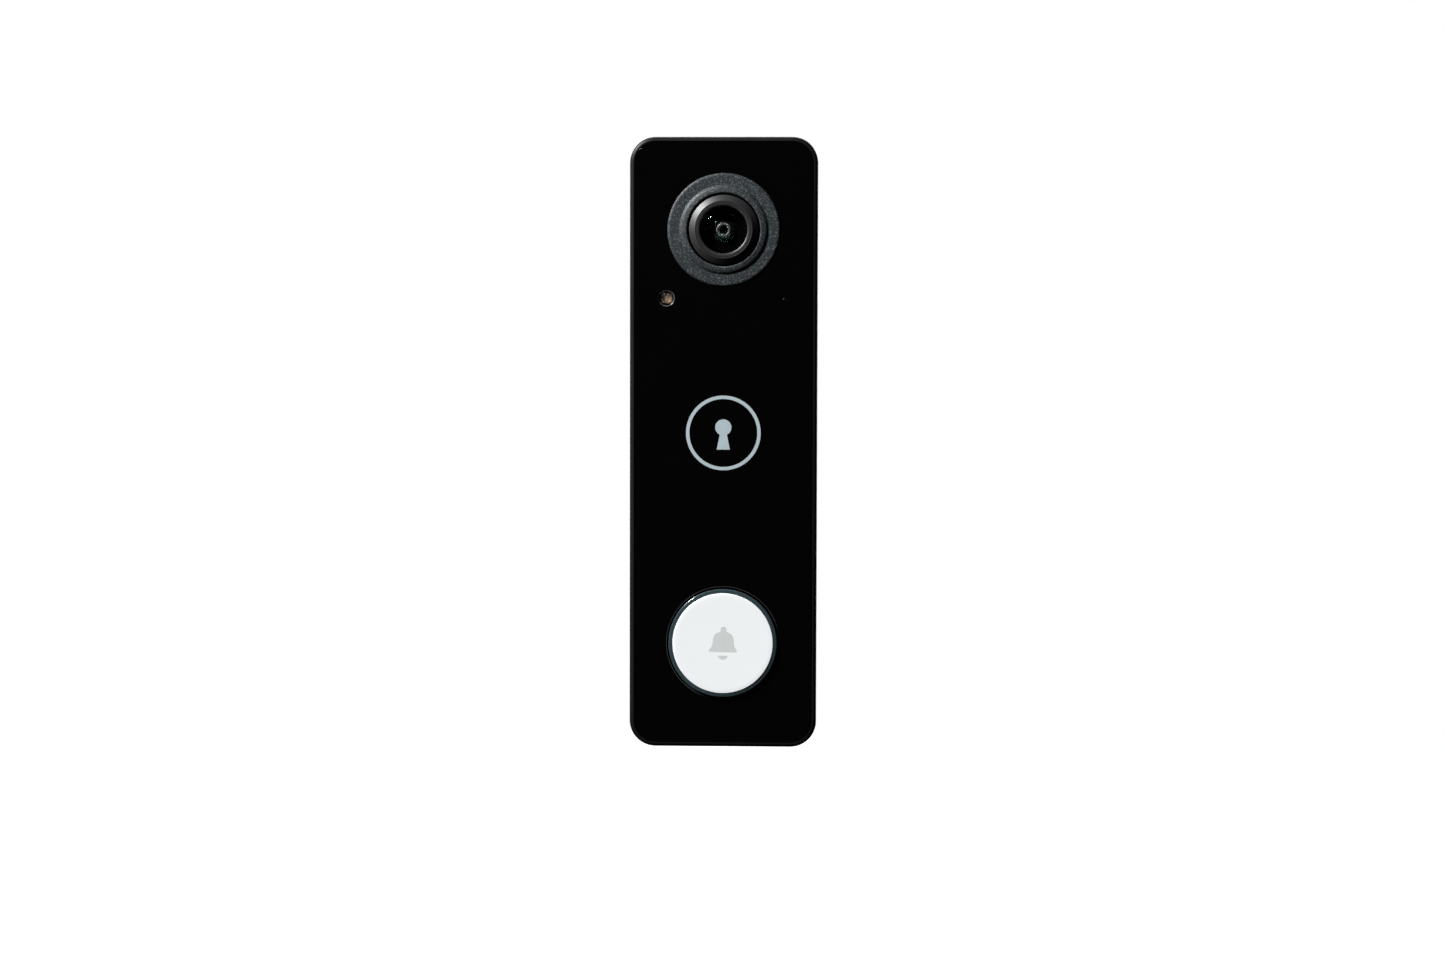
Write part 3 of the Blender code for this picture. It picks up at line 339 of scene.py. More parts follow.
case_black = moulded_black("case_black", 0.22, 0.42)
wall_plate.data.materials.append(case_black)
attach(wall_plate, "wall_plate")
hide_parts("wall_plate")

# ---------------------------------------------------------------- rear cover
# The back shell is moulded in the same black plastic. Its web is set in, so that the wall plate
# disappears inside its skirt, and it has a pocket for the hooks, one for the tab, four recessed
# screw holes and two holes for the wire terminals.
case_wide, case_high, case_corner = 44.0, 143.0, 6.1
draft = math.tan(math.radians(3.0))


def case_side(y):
    """How far the drafted side stands in from the widest place, at this depth."""
    return (y + 22.6) * draft


def case_sheet(name, y, set_in=0.0):
    """A sheet of the case's own outline at this depth."""
    inset = case_side(y) + set_in
    return rounded_sheet(
        name, case_wide - 2 * inset, case_high - 2 * inset, case_corner - inset, y, steps=14
    )


def case_block(name, front, back, set_in=0.0):
    """A block of the case's outline from front to back, with the case's draft."""
    piece = case_sheet(name, front, set_in)
    open_all()
    front_inset = case_side(front) + set_in
    back_inset = case_side(back) + set_in
    thicken(
        back - front, back_inset - front_inset,
        case_wide - 2 * front_inset, case_high - 2 * front_inset,
    )
    close_up()
    return piece


def box_bar(name, x, y, z, corner):
    """A square bar from its low and high x, y and z, with the corners seen from the front rounded."""
    return slab(
        name, x[1] - x[0], z[1] - z[0], corner, y[0], y[1],
        (x[0] + x[1]) / 2, (z[0] + z[1]) / 2, 4,
    )


rear_cover = case_block("rear_cover_shaped", -7.0, -0.6)
select_faces(rear_cover, lambda middle, normal: normal.y > 0.9)
bpy.ops.mesh.bevel(offset=0.6 * mm, segments=4, affect="EDGES")
bpy.ops.object.mode_set(mode="OBJECT")
fit_together(
    rear_cover,
    [
        case_block("front_hollow", -8.0, -5.4, 1.8),
        case_block("back_hollow", -3.8, 0.4, 1.7),
    ],
    "DIFFERENCE",
)
screw_places = [(x, z) for z in (59.0, -59.0) for x in (-17.0, 17.0)]
cover_bosses = [rod("screw_boss", 3.3, -6.9, -4.9, x, z) for x, z in screw_places]
cover_bosses += [
    box_bar("hook_box", (-11.0, 11.0), (-9.4, -4.9), (53.0, 67.2), 1.0),
    box_bar("lock_box", (-7.0, 7.0), (-7.6, -4.9), (-68.5, -59.5), 1.0),
    box_bar("lock_foot", (-7.0, 7.0), (-6.6, -1.4), (-69.6, -66.6), 0.4),
]
fit_together(rear_cover, cover_bosses, "UNION")
cover_openings = []
for x, z in screw_places:
    cover_openings.append(rod("shank_hole", 1.3, -9.0, -2.0, x, z, 32))
    cover_openings.append(rod("head_recess", 2.3, -5.3, -2.0, x, z, 48))
terminal_x, terminal_z = 7.0, 28.0
for x in (-terminal_x, terminal_x):
    cover_openings.append(rod("terminal_hole", 1.7, -7.0, -2.0, x, terminal_z, 40))
cover_openings += [
    box_bar("hook_space", (-10.0, 10.0), (-8.4, -5.4), (54.0, 66.2), 0.6),
    box_bar("hook_window", (-10.0, 10.0), (-5.9, -2.0), (54.0, 61.0), 0.6),
    box_bar("lock_space", (-6.0, 6.0), (-6.6, -2.0), (-66.6, -60.5), 0.6),
    traced_bar(
        "wall_relief", [(-25.0, -2.4, 71.5), (-25.0, 0.5, 71.5), (-25.0, 0.5, 61.0)], (50.0, 0.0, 0.0)
    ),
]
screw_way = rod("screw_way", 1.65, -73.0, -65.5, 0.0, 0.0, 48)
lock_screw_y = -4.4
screw_way.location = (0.0, lock_screw_y * mm, 0.0)
screw_way.rotation_euler = (math.pi / 2, 0.0, 0.0)
bpy.ops.object.transform_apply()
fit_together(rear_cover, [*cover_openings, screw_way], "DIFFERENCE")
soften(rear_cover, 0.12)
rear_cover.data.materials.append(case_black)
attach(rear_cover, "doorbell_unit")
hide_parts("rear_cover")

# ---------------------------------------------------------------- wire terminals
# Two brass screws with a washer under the head clamp the bell wires against the web. Each runs in a
# brass nut that is pressed in from inside. Heads and nuts are turned, and the cross is punched.


def turn_on_lathe(name, outline, x=0.0, z=0.0, steps=96):
    """Spins an outline of (radius, depth) points, in millimetres, once round an axis along Y."""
    piece = draw_line(name, [(x + radius, depth, z) for radius, depth in outline])
    bpy.ops.mesh.spin(
        steps=steps, angle=2 * math.pi, center=(x * mm, 0.0, z * mm), axis=(0.0, 1.0, 0.0)
    )
    bpy.ops.mesh.select_all(action="SELECT")
    bpy.ops.mesh.remove_doubles(threshold=1e-6)
    close_up()
    return piece


def copy_of(piece, name, by_x=0.0, by_z=0.0):
    """A copy with its own mesh, set over by this many millimetres."""
    twin = piece.copy()
    twin.data = piece.data.copy()
    twin.name = twin.data.name = name
    bpy.context.scene.collection.objects.link(twin)
    pick(twin)
    twin.location = (by_x * mm, 0.0, by_z * mm)
    bpy.ops.object.transform_apply()
    return twin


# Fine rings that a cutting tool leaves round the axis.
tool_rings, rings_in, rings_out = new_effect(
    "tool_rings",
    [("Vector", "Vector", (0, 0, 0)), ("Pitch", "Float", 0.1)],
    [("Height", "Float"), ("Tone", "Float")],
)
ring_axes = node(tool_rings, "SeparateXYZ", {0: rings_in.outputs["Vector"]}).outputs
flat_point = node(tool_rings, "CombineXYZ", {0: ring_axes[0], 1: ring_axes[2]}).outputs[0]
ring_radius = node(tool_rings, "VectorMath", {0: flat_point}, operation="LENGTH").outputs["Value"]
ring_scale = maths(tool_rings, "DIVIDE", 1000.0, rings_in.outputs["Pitch"])
ring_height = node(
    tool_rings, "TexNoise", {"W": ring_radius, "Scale": ring_scale, "Detail": 2.0},
    noise_dimensions="1D",
).outputs["Fac"]
broad_rings = node(
    tool_rings, "TexNoise", {"W": ring_radius, "Scale": maths(tool_rings, "MULTIPLY", ring_scale, 0.2)},
    noise_dimensions="1D",
).outputs["Fac"]
broad_half = maths(tool_rings, "MULTIPLY", broad_rings, 0.5)
ring_tone = maths(tool_rings, "MULTIPLY_ADD", ring_height, 0.5, broad_half)
feed(tool_rings, rings_out, {"Height": ring_height, "Tone": ring_tone})

# Soft marks left by handling, in patches and short strokes.
handling, handling_in, handling_out = new_effect(
    "handling", [("Vector", "Vector", (0, 0, 0)), ("Size", "Float", 8.0)], [("Marks", "Float")]
)
handling_scale = maths(handling, "DIVIDE", 1000.0, handling_in.outputs["Size"])
smears = node(
    handling, "TexNoise",
    {"Vector": handling_in.outputs["Vector"], "Scale": handling_scale, "Detail": 5.0, "Distortion": 1.5},
).outputs["Fac"]
marks = ramp(handling, smears, 0.42, 0.7, shape="SMOOTHSTEP")
feed(handling, handling_out, {"Marks": marks})


def centred(tree, place, x, z):
    """Object coordinates moved so that the axis at x and z, in millimetres, is their middle."""
    return node(tree, "Mapping", {"Vector": place, "Location": (-x * mm, 0.0, -z * mm)}).outputs[0]


def turned_metal(name, colour, shine, x, z):
    """Metal with the rings of a lathe round the axis at x and z, dulled in patches."""
    material, tree, shader, place = new_finish(name, roughness=shine, metallic=1.0)
    rings = use_effect(tree, tool_rings, Vector=centred(tree, place, x, z), Pitch=0.08)
    dull = use_effect(tree, handling, Vector=place, Size=3.0)["Marks"]
    tint = between(tree, rings["Tone"], *shades(colour, 0.82, 1.08))
    gloss = maths(tree, "MULTIPLY_ADD", dull, 0.16, shine)
    link_finish(tree, shader, tint, gloss, rings["Height"], 0.002)
    return material


terminal_left = turn_on_lathe(
    "terminal_screw_left_turned",
    [
        (0.0, -7.0), (1.1, -7.0), (1.5, -6.5), (1.5, -3.6), (3.0, -3.6), (3.0, -3.0), (2.4, -3.0),
        (2.4, -1.95), (2.25, -1.6), (1.9, -1.4), (0.0, -1.4),
    ],
    -terminal_x, terminal_z, 64,
)
cross_slots = [
    box_bar("cross_slot", (-8.6, -5.4), (-2.2, -1.0), (27.7, 28.3), 0.1),
    box_bar("cross_slot", (-7.3, -6.7), (-2.2, -1.0), (26.4, 29.6), 0.1),
]
fit_together(terminal_left, cross_slots, "DIFFERENCE")
soften(terminal_left, 0.06)
terminal_right = copy_of(terminal_left, "terminal_screw_right_turned", 2 * terminal_x)
for screw, side, x in ((terminal_left, "left", -terminal_x), (terminal_right, "right", terminal_x)):
    brass = turned_metal(f"brass_{side}", (0.78, 0.56, 0.24), 0.24, x, terminal_z)
    screw.data.materials.append(brass)
    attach(screw, "doorbell_unit")
    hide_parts(f"terminal_screw_{side}")
    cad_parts[f"terminal_nut_{side}"].material_slots[0].material = brass

# ---------------------------------------------------------------- main board
# The main board is green-masked glass epoxy on four posts. It carries the processor under a pad and
# an aluminium heat spreader, the shielded radio, the power parts and the foil antenna at its side.


def paint(material, *names):
    """Gives CAD nodes this material."""
    for name in names:
        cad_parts[name].material_slots[0].material = material


# Copper tracks under the mask: straight runs on a square grid, with round pads among them.
board_print, print_in, print_out = new_effect(
    "board_print",
    [("Vector", "Vector", (0, 0, 0)), ("Pitch", "Float", 0.8)],
    [("Tracks", "Float"), ("Pads", "Float")],
)
print_scale = maths(board_print, "DIVIDE", 1000.0, print_in.outputs["Pitch"])
print_axes = node(board_print, "SeparateXYZ", {0: print_in.outputs["Vector"]}).outputs
print_point = node(board_print, "CombineXYZ", {0: print_axes[0], 1: print_axes[2]}).outputs[0]
runs = []
for turned_by in (0.0, math.pi / 2):
    turned_point = node(board_print, "Mapping", {"Vector": print_point, "Rotation": (0, 0, turned_by)})
    bricks = node(
        board_print, "TexBrick",
        {
            "Vector": turned_point.outputs[0], "Color1": (0, 0, 0, 1), "Color2": (0, 0, 0, 1),
            "Mortar": (1, 1, 1, 1), "Scale": print_scale, "Mortar Size": 0.05, "Brick Width": 4.0,
            "Row Height": 0.5,
        },
    )
    runs.append(bricks.outputs["Color"])
field_scale = maths(board_print, "MULTIPLY", print_scale, 0.12)
where = node(
    board_print, "TexVoronoi", {"Vector": print_point, "Scale": field_scale}, distance="MANHATTAN"
).outputs["Color"]
pick_run = maths(board_print, "GREATER_THAN", where, 0.5)
chosen_run = between(board_print, pick_run, *runs)
spots = node(board_print, "TexVoronoi", {"Vector": print_point, "Scale": print_scale}).outputs["Distance"]
pads = maths(board_print, "LESS_THAN", spots, 0.16)
feed(board_print, print_out, {"Tracks": chosen_run, "Pads": pads})

board_green, tree, shader, place = new_finish("board_green", roughness=0.3, Specular_IOR_Level=0.5)
prints = use_effect(tree, board_print, Vector=place, Pitch=0.9)
masked = between(tree, prints["Tracks"], (0.010, 0.060, 0.026, 1), (0.022, 0.13, 0.05, 1))
tinned = between(tree, prints["Pads"], masked, (0.62, 0.60, 0.52, 1))
tree.links.new(prints["Pads"], shader.inputs["Metallic"])
link_finish(tree, shader, tinned, None, prints["Tracks"], 0.02)
paint(board_green, "main_board", "front_board", "camera_board", "button_board")

chip_black = moulded_black("chip_black", 0.08, 0.5, (0.022, 0.022, 0.024))
paint(chip_black, "processor", "power_inductor", "lens_holder", "board_header", "button_header")
paint(chip_black, "sensor_riser", "tact_switch", "speaker_frame")

sensor_die, tree, shader, place = new_finish("sensor_die", roughness=0.12, Coat_Weight=0.6)
die_cells = node(tree, "TexChecker", {"Vector": place, "Scale": 20000.0}).outputs["Fac"]
die_tone = use_effect(tree, handling, Vector=place, Size=2.0)["Marks"]
die_shift = between(tree, die_tone, (0.03, 0.05, 0.06, 1), (0.06, 0.03, 0.07, 1))
link_finish(tree, shader, between(tree, die_cells, die_shift, (0.02, 0.05, 0.04, 1)))
paint(sensor_die, "image_sensor")

# Rolled or drawn sheet metal: long hairlines that run one way.
drawn_lines, lines_in, lines_out = new_effect(
    "drawn_lines",
    [("Vector", "Vector", (0, 0, 0)), ("Pitch", "Float", 0.06)],
    [("Height", "Float")],
)
stretched = node(drawn_lines, "Mapping", {"Vector": lines_in.outputs["Vector"], "Scale": (0.02, 1, 1)})
lines_scale = maths(drawn_lines, "DIVIDE", 1000.0, lines_in.outputs["Pitch"])
hairlines = node(
    drawn_lines, "TexNoise", {"Vector": stretched.outputs[0], "Scale": lines_scale, "Detail": 3.0}
).outputs["Fac"]
feed(drawn_lines, lines_out, {"Height": hairlines})


def drawn_metal(name, colour, shine):
    """Sheet metal with hairlines and soft handling marks."""
    material, tree, shader, place = new_finish(name, roughness=shine, metallic=1.0)
    lines = use_effect(tree, drawn_lines, Vector=place)["Height"]
    dull = use_effect(tree, handling, Vector=place, Size=5.0)["Marks"]
    gloss = maths(tree, "MULTIPLY_ADD", dull, 0.15, shine)
    link_finish(tree, shader, between(tree, lines, *shades(colour, 0.85, 1.05)), gloss, lines, 0.003)
    return material


paint(drawn_metal("nickel_sheet", (0.66, 0.64, 0.60), 0.26), "wifi_shield", "microphone", "speaker_magnet")
paint(drawn_metal("rolled_aluminium", (0.80, 0.81, 0.82), 0.32), "heat_spreader", "storage_capacitor")


def rubbery(name, colour, shine, grain):
    """Rubber or silicone: a soft matte skin with a light bloom."""
    return mottled(name, grain, *shades(colour, 0.85, 1.15), shine, 0.004, Sheen_Weight=0.15)


black_rubber = rubbery("black_rubber", (0.018, 0.018, 0.019), 0.7, 0.15)
paint(black_rubber, "housing_gasket", "lens_seal", "microphone_gasket", "speaker_gasket")
paint(rubbery("grey_silicone", (0.55, 0.57, 0.58), 0.5, 0.12), "thermal_pad", "button_seal")

amber_film, tree, shader, place = new_finish("amber_film", roughness=0.22, Coat_Weight=0.3)
film_lines = use_effect(tree, board_print, Vector=place, Pitch=0.5)["Tracks"]
link_finish(
    tree, shader, between(tree, film_lines, (0.50, 0.20, 0.03, 1), (0.30, 0.10, 0.02, 1)),
    height=film_lines, depth=0.01,
)
paint(amber_film, "camera_flex_cable", "wifi_antenna")

lamp_white = mottled("lamp_white", 0.1, (0.74, 0.73, 0.68, 1), (0.84, 0.83, 0.80, 1), 0.4, 0.003)
paint(lamp_white, "ir_led_left", "ir_led_right", "ring_led_left", "ring_led_right", "switch_plunger")

# ---------------------------------------------------------------- speaker
# A small rectangular speaker faces down behind the slots. Its frame is moulded, its diaphragm and
# the dust mesh over it are fine black woven polyester, and a foam ring seals it to the case.
woven, tree, shader, place = new_finish("woven_mesh", roughness=0.8, Sheen_Weight=0.3)
threads = []
for turned_by in (0.0, math.pi / 2):
    across = node(tree, "Mapping", {"Vector": place, "Rotation": (0, 0, turned_by)}).outputs[0]
    threads.append(
        node(tree, "TexWave", {"Vector": across, "Scale": 1600.0, "Distortion": 0.3}, wave_profile="SIN")
        .outputs["Fac"]
    )
weave = maths(tree, "MAXIMUM", threads[0], threads[1])
link_finish(
    tree, shader, between(tree, weave, (0.004, 0.004, 0.004, 1), (0.04, 0.04, 0.042, 1)),
    height=weave, depth=0.05,
)
paint(woven, "speaker_diaphragm", "acoustic_mesh")

# ---------------------------------------------------------------- front housing
# The front shell is moulded in black ABS with drafted sides and a rounded front edge. Its rim stands
# round the pocket for the glossy cover, and nine slots in its foot let the speaker out.
housing = case_block("front_housing_shaped", -23.6, -7.2)
select_faces(housing, lambda middle, normal: normal.y < -0.9)
bpy.ops.mesh.bevel(offset=1.0 * mm, segments=7, affect="EDGES")
bpy.ops.object.mode_set(mode="OBJECT")
select_faces(housing, lambda middle, normal: normal.y < -0.999)
bpy.ops.mesh.inset(thickness=0.1 * mm, depth=0.0)
thicken(1.4)
bpy.ops.object.mode_set(mode="OBJECT")
select_faces(housing, lambda middle, normal: normal.y > 0.999)
bpy.ops.mesh.inset(thickness=0.95 * mm, depth=0.0)
thicken(-2.2)
bpy.ops.mesh.inset(thickness=0.85 * mm, depth=0.0)
thicken(-11.4)
close_up()

camera_z, button_z = 49.85, -46.9
small_hole_z, sensor_x, microphone_x = 34.0, -13.4, 13.8
housing_stands = [rod("screw_boss", 2.2, -21.7, -7.3, x, z, 48) for x, z in screw_places]
housing_stands += [
    rod("board_post", 1.4, -21.7, -8.4, x, z, 32) for z in (20.0, -29.0) for x in (-12.0, 12.0)
]
fit_together(housing, housing_stands, "UNION")
housing_openings = [rod("pilot_hole", 1.25, -15.2, -6.2, x, z, 32) for x, z in screw_places]
for radius, x, z in (
    (10.3, 0.0, camera_z), (13.1, 0.0, button_z), (2.35, sensor_x, small_hole_z),
    (1.5, microphone_x, small_hole_z), (2.2, -5.0, 31.0), (2.2, 5.0, 31.0),
):
    housing_openings.append(rod("bulkhead_hole", radius, -23.2, -19.8, x, z, 96))
first_slot = rounded_sheet("sound_slot", 1.1, 7.0, 0.54, 0.0, x=-9.6, steps=6)
open_all()
thicken(5.0)
close_up()
first_slot.rotation_euler = (math.pi / 2, 0.0, 0.0)
first_slot.location = (0.0, -14.5 * mm, -73.0 * mm)
bpy.ops.object.transform_apply()
housing_openings += [copy_of(first_slot, "sound_slot", 2.4 * step) for step in range(1, 9)]
housing_openings.append(first_slot)
fit_together(housing, housing_openings, "DIFFERENCE")
soften(housing, 0.08)
housing.data.materials.append(case_black)
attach(housing, "doorbell_unit")
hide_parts("front_housing")

# ---------------------------------------------------------------- case screws
# Four nickel-plated pan-head screws with a hexagonal socket draw the back shell onto the front one
# from behind, deep in their recesses.
first_screw = turn_on_lathe(
    "case_screw_1_turned",
    [
        (0.0, -14.3), (1.1, -13.5), (1.1, -5.1), (2.1, -5.1), (2.1, -4.5), (1.95, -4.15),
        (1.6, -3.92), (1.3, -3.9), (0.0, -3.9),
    ],
    *screw_places[0], 64,
)
fit_together(first_screw, [rod("socket", 0.9, -4.6, -3.4, *screw_places[0], 6)], "DIFFERENCE")
soften(first_screw, 0.04)
case_screws = [first_screw]
for number, (x, z) in enumerate(screw_places[1:], start=2):
    by = (x - screw_places[0][0], z - screw_places[0][1])
    case_screws.append(copy_of(first_screw, f"case_screw_{number}_turned", *by))
for number, (screw, (x, z)) in enumerate(zip(case_screws, screw_places), start=1):
    screw.data.materials.append(turned_metal(f"screw_nickel_{number}", (0.64, 0.63, 0.60), 0.28, x, z))
    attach(screw, "doorbell_unit")
    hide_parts(f"case_screw_{number}")

# ---------------------------------------------------------------- lenses and their barrel
# The lens barrel is a turned and blackened sleeve with a conical nose. A thin threaded ring holds
# the domed front glass in it. Behind the glass stand a small inner lens and the grey nose of its stop.


def dome(radius, apex, curvature, steps):
    """Outline points on a sphere from the axis out to radius, bulging to the front."""
    points = []
    for step in range(steps + 1):
        r = radius * step / steps
        points.append((r, apex + curvature - math.sqrt(curvature**2 - r**2)))
    return points


barrel = turn_on_lathe(
    "lens_barrel_turned",
    [
        (6.50, -25.385), (6.64, -25.40), (6.78, -25.365), (8.00, -24.58), (8.07, -24.50), (8.10, -24.38),
        (8.10, -18.6), (6.0, -18.6), (6.0, -13.6), (4.2, -13.6), (4.2, -22.6), (5.9, -22.6),
        (5.9, -24.8), (6.46, -24.8), (6.46, -25.37), (6.50, -25.385),
    ],
    0.0, camera_z, 128,
)
soften(barrel, 0.0, angle=32)


def blackened(name, tone, shine):
    """Turned and blackened metal: tone is its grey, shine its roughness."""
    material, tree, shader, place = new_finish(name, roughness=shine)
    rings = use_effect(tree, tool_rings, Vector=centred(tree, place, 0.0, camera_z), Pitch=0.12)
    skin = use_effect(tree, moulded_skin, Vector=place, Grain=0.1)
    low, high = (0.7 * tone, 0.7 * tone, 0.75 * tone, 1), (1.3 * tone, 1.3 * tone, 1.4 * tone, 1)
    tint = between(tree, rings["Tone"], low, high)
    gloss = maths(tree, "MULTIPLY_ADD", skin["Tone"], 0.08, shine - 0.04)
    link_finish(tree, shader, tint, gloss, skin["Height"], 0.002)
    return material


barrel.data.materials.append(blackened("barrel_black", 0.015, 0.47))
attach(barrel, "doorbell_unit")
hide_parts("lens_barrel")

retaining_ring = turn_on_lathe(
    "lens_retaining_ring_turned",
    [
        (5.55, -24.95), (5.55, -25.12), (5.58, -25.22), (5.74, -25.325), (5.82, -25.345), (6.30, -25.40),
        (6.36, -25.39), (6.40, -25.34), (6.40, -24.95), (5.55, -24.95),
    ],
    0.0, camera_z, 128,
)
soften(retaining_ring, 0.0, angle=32)
retaining_ring.data.materials.append(blackened("ring_black", 0.014, 0.45))
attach(retaining_ring, "doorbell_unit")
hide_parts("lens_retaining_ring")


def clear_glass(name, tint, coating, bending=1.5, haze=0.0):
    """Clear glass with a faint coating colour in its reflections. Light reaches what lies behind it."""
    material, tree, shader, place = new_finish(
        name, roughness=haze, Transmission_Weight=1.0, IOR=bending, Specular_Tint=coating
    )
    film = use_effect(tree, handling, Vector=place, Size=6.0)["Marks"]
    tint = between(tree, film, tint, *shades(tint[:3], 0.985))
    link_finish(tree, shader, tint, maths(tree, "MULTIPLY_ADD", film, 0.008, haze))
    passing = tree.nodes.new("ShaderNodeBsdfTransparent")
    shadow = tree.nodes.new("ShaderNodeLightPath").outputs["Is Shadow Ray"]
    mixed = node(tree, "MixShader", {0: shadow, 1: shader.outputs[0], 2: passing.outputs[0]})
    feed(tree, tree.nodes["Material Output"], {"Surface": mixed.outputs[0]})
    return material


lens_glass = clear_glass("lens_glass", (0.98, 1.0, 0.99, 1.0), (0.15, 1.0, 0.62, 1.0), 1.17, 0.012)
glass_edge = dome(5.75, -27.0, 8.08, 28)
glass_hollow = dome(4.0, -25.13, 4.6, 20)
front_glass = turn_on_lathe(
    "front_lens_ground", [*glass_edge, (5.75, -22.8), (4.1, -22.8), *reversed(glass_hollow)],
    0.0, camera_z, 96,
)
soften(front_glass, 0.0, angle=32)
front_glass.data.materials.append(lens_glass)
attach(front_glass, "doorbell_unit")
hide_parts("front_lens")

# A sleeve of black flock round the edge of the glass keeps stray light out of it.
lining = turn_on_lathe(
    "lens_lining",
    [
        (5.78, -24.75), (5.88, -24.75), (5.88, -22.65), (4.12, -22.65), (4.12, -22.53), (2.35, -22.53),
        (2.35, -22.62), (4.03, -22.62), (4.03, -22.72), (4.12, -22.75), (5.78, -22.75), (5.78, -24.75),
    ],
    0.0, camera_z, 96,
)
soften(lining, 0.0)
flock_tones = shades((0.001, 0.001, 0.001), 0.6, 1.2)
flock = mottled("black_flock", 0.05, *flock_tones, 0.9, 0.02, Specular_IOR_Level=0.0)
lining.data.materials.append(flock)
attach(lining, "doorbell_unit")

inner_glass = turn_on_lathe(
    "middle_lens_ground",
    [
        *dome(0.9, -23.62, 1.3, 12), (1.05, -22.9), (1.1, -21.7), (3.9, -21.6), (4.0, -21.5),
        (4.0, -19.4), (0.0, -19.4),
    ],
    0.0, camera_z, 64,
)
soften(inner_glass, 0.0, angle=32)
inner_glass.data.materials.append(lens_glass)
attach(inner_glass, "doorbell_unit")
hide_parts("middle_lens")
paint(lens_glass, "rear_lens")

infrared_filter = clear_glass("infrared_filter_glass", (0.72, 0.92, 0.95, 1.0), (1.0, 0.6, 0.6, 1.0))
paint(infrared_filter, "ir_cut_filter")

stop = turn_on_lathe(
    "aperture_stop_turned",
    [
        (0.96, -23.70), (1.00, -23.86), (1.10, -23.97), (1.22, -24.03), (1.34, -24.05), (1.46, -24.03),
        (1.58, -23.97), (1.68, -23.86), (1.76, -23.70), (2.20, -22.50), (4.05, -22.40), (4.05, -21.90),
        (1.50, -21.90), (1.50, -22.90), (0.96, -23.70),
    ],
    0.0, camera_z, 96,
)
soften(stop, 0.0, angle=50)
stop_grey, tree, shader, place = new_finish("stop_grey", roughness=0.45, Specular_IOR_Level=0.3)
stop_rings = use_effect(tree, tool_rings, Vector=centred(tree, place, 0.0, camera_z), Pitch=0.15)
stop_depth = node(tree, "SeparateXYZ", {0: place}).outputs[1]
# Painted shade: from 23.6 mm deep on, behind its nose, the stop is painted near-black, deep inside the
# barrel.
painted_depth_shade = ramp(tree, stop_depth, -23.85 * mm, -23.6 * mm)
stop_tint = between(tree, stop_rings["Tone"], (0.011, 0.0105, 0.0105, 1), (0.022, 0.021, 0.020, 1))
stop_tint = between(tree, painted_depth_shade, stop_tint, (0.0015, 0.0015, 0.0018, 1))
link_finish(tree, shader, stop_tint, None, stop_rings["Height"], 0.004)
stop.data.materials.append(stop_grey)
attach(stop, "doorbell_unit")
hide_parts("aperture_stop")

# ---------------------------------------------------------------- camera ring
# The ring round the camera is die cast, with a coarse spark-eroded skin in a blue-grey metallic
# paint. It has a flat outer flange, a step up to a narrow land, and a tube that goes through the case.
camera_ring = turn_on_lathe(
    "camera_bezel_cast",
    [
        (8.50, -24.31), (8.52, -24.36), (8.72, -24.50), (8.80, -24.51), (8.90, -24.505), (9.20, -24.468),
        (9.45, -24.428), (9.70, -24.366), (9.85, -24.314), (9.97, -24.255), (10.08, -24.181),
        (10.20, -24.061), (10.35, -23.974), (10.50, -23.952), (10.66, -23.95), (12.45, -23.95),
        (12.70, -23.93), (12.88, -23.88), (13.02, -23.81), (13.12, -23.72), (13.18, -23.62),
        (13.20, -23.50), (13.20, -22.4), (10.0, -22.4), (10.0, -17.6), (9.1, -17.6), (9.1, -20.4),
        (8.5, -20.4), (8.50, -24.31),
    ],
    0.0, camera_z, 160,
)
soften(camera_ring, 0.0, angle=38)

# Metallic paint: fine specks, each with its own slight colour, in a dull base.
paint_specks, specks_in, specks_out = new_effect(
    "paint_specks",
    [("Vector", "Vector", (0, 0, 0)), ("Size", "Float", 0.3)],
    [("Specks", "Vector"), ("Bright", "Float")],
)
speck_noise = node(
    paint_specks, "TexNoise",
    {
        "Vector": specks_in.outputs["Vector"], "Detail": 2.0, "Roughness": 0.55,
        "Scale": maths(paint_specks, "DIVIDE", 1000.0, specks_in.outputs["Size"]),
    },
)
speck_colour = node(
    paint_specks, "MapRange", {6: speck_noise.outputs["Color"], 7: (0.36, 0.36, 0.36), 8: (0.66, 0.66, 0.66)},
    data_type="FLOAT_VECTOR",
).outputs["Vector"]
speck_bright = ramp(paint_specks, speck_noise.outputs["Fac"], 0.52, 0.70, shape="SMOOTHSTEP")
feed(paint_specks, specks_out, {"Specks": speck_colour, "Bright": speck_bright})

ring_paint, tree, shader, place = new_finish("ring_paint", roughness=0.55, Specular_IOR_Level=0.4)
specks = use_effect(tree, paint_specks, Vector=place, Size=0.28)
ring_skin = use_effect(tree, moulded_skin, Vector=place, Grain=0.32, Patch=5.0)
ring_tint = node(
    tree, "VectorMath", {0: specks["Specks"], 1: (0.015, 0.017, 0.018), 2: (0.0035, 0.0058, 0.0068)},
    operation="MULTIPLY_ADD",
).outputs[0]
ring_tint = between(tree, maths(tree, "MULTIPLY", specks["Bright"], 0.42), ring_tint, (0.22, 0.26, 0.285, 1))
link_finish(
    tree, shader, ring_tint, maths(tree, "MULTIPLY_ADD", specks["Bright"], -0.15, 0.6),
    ring_skin["Height"], 0.035,
)
camera_ring.data.materials.append(ring_paint)
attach(camera_ring, "doorbell_unit")
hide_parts("camera_bezel")
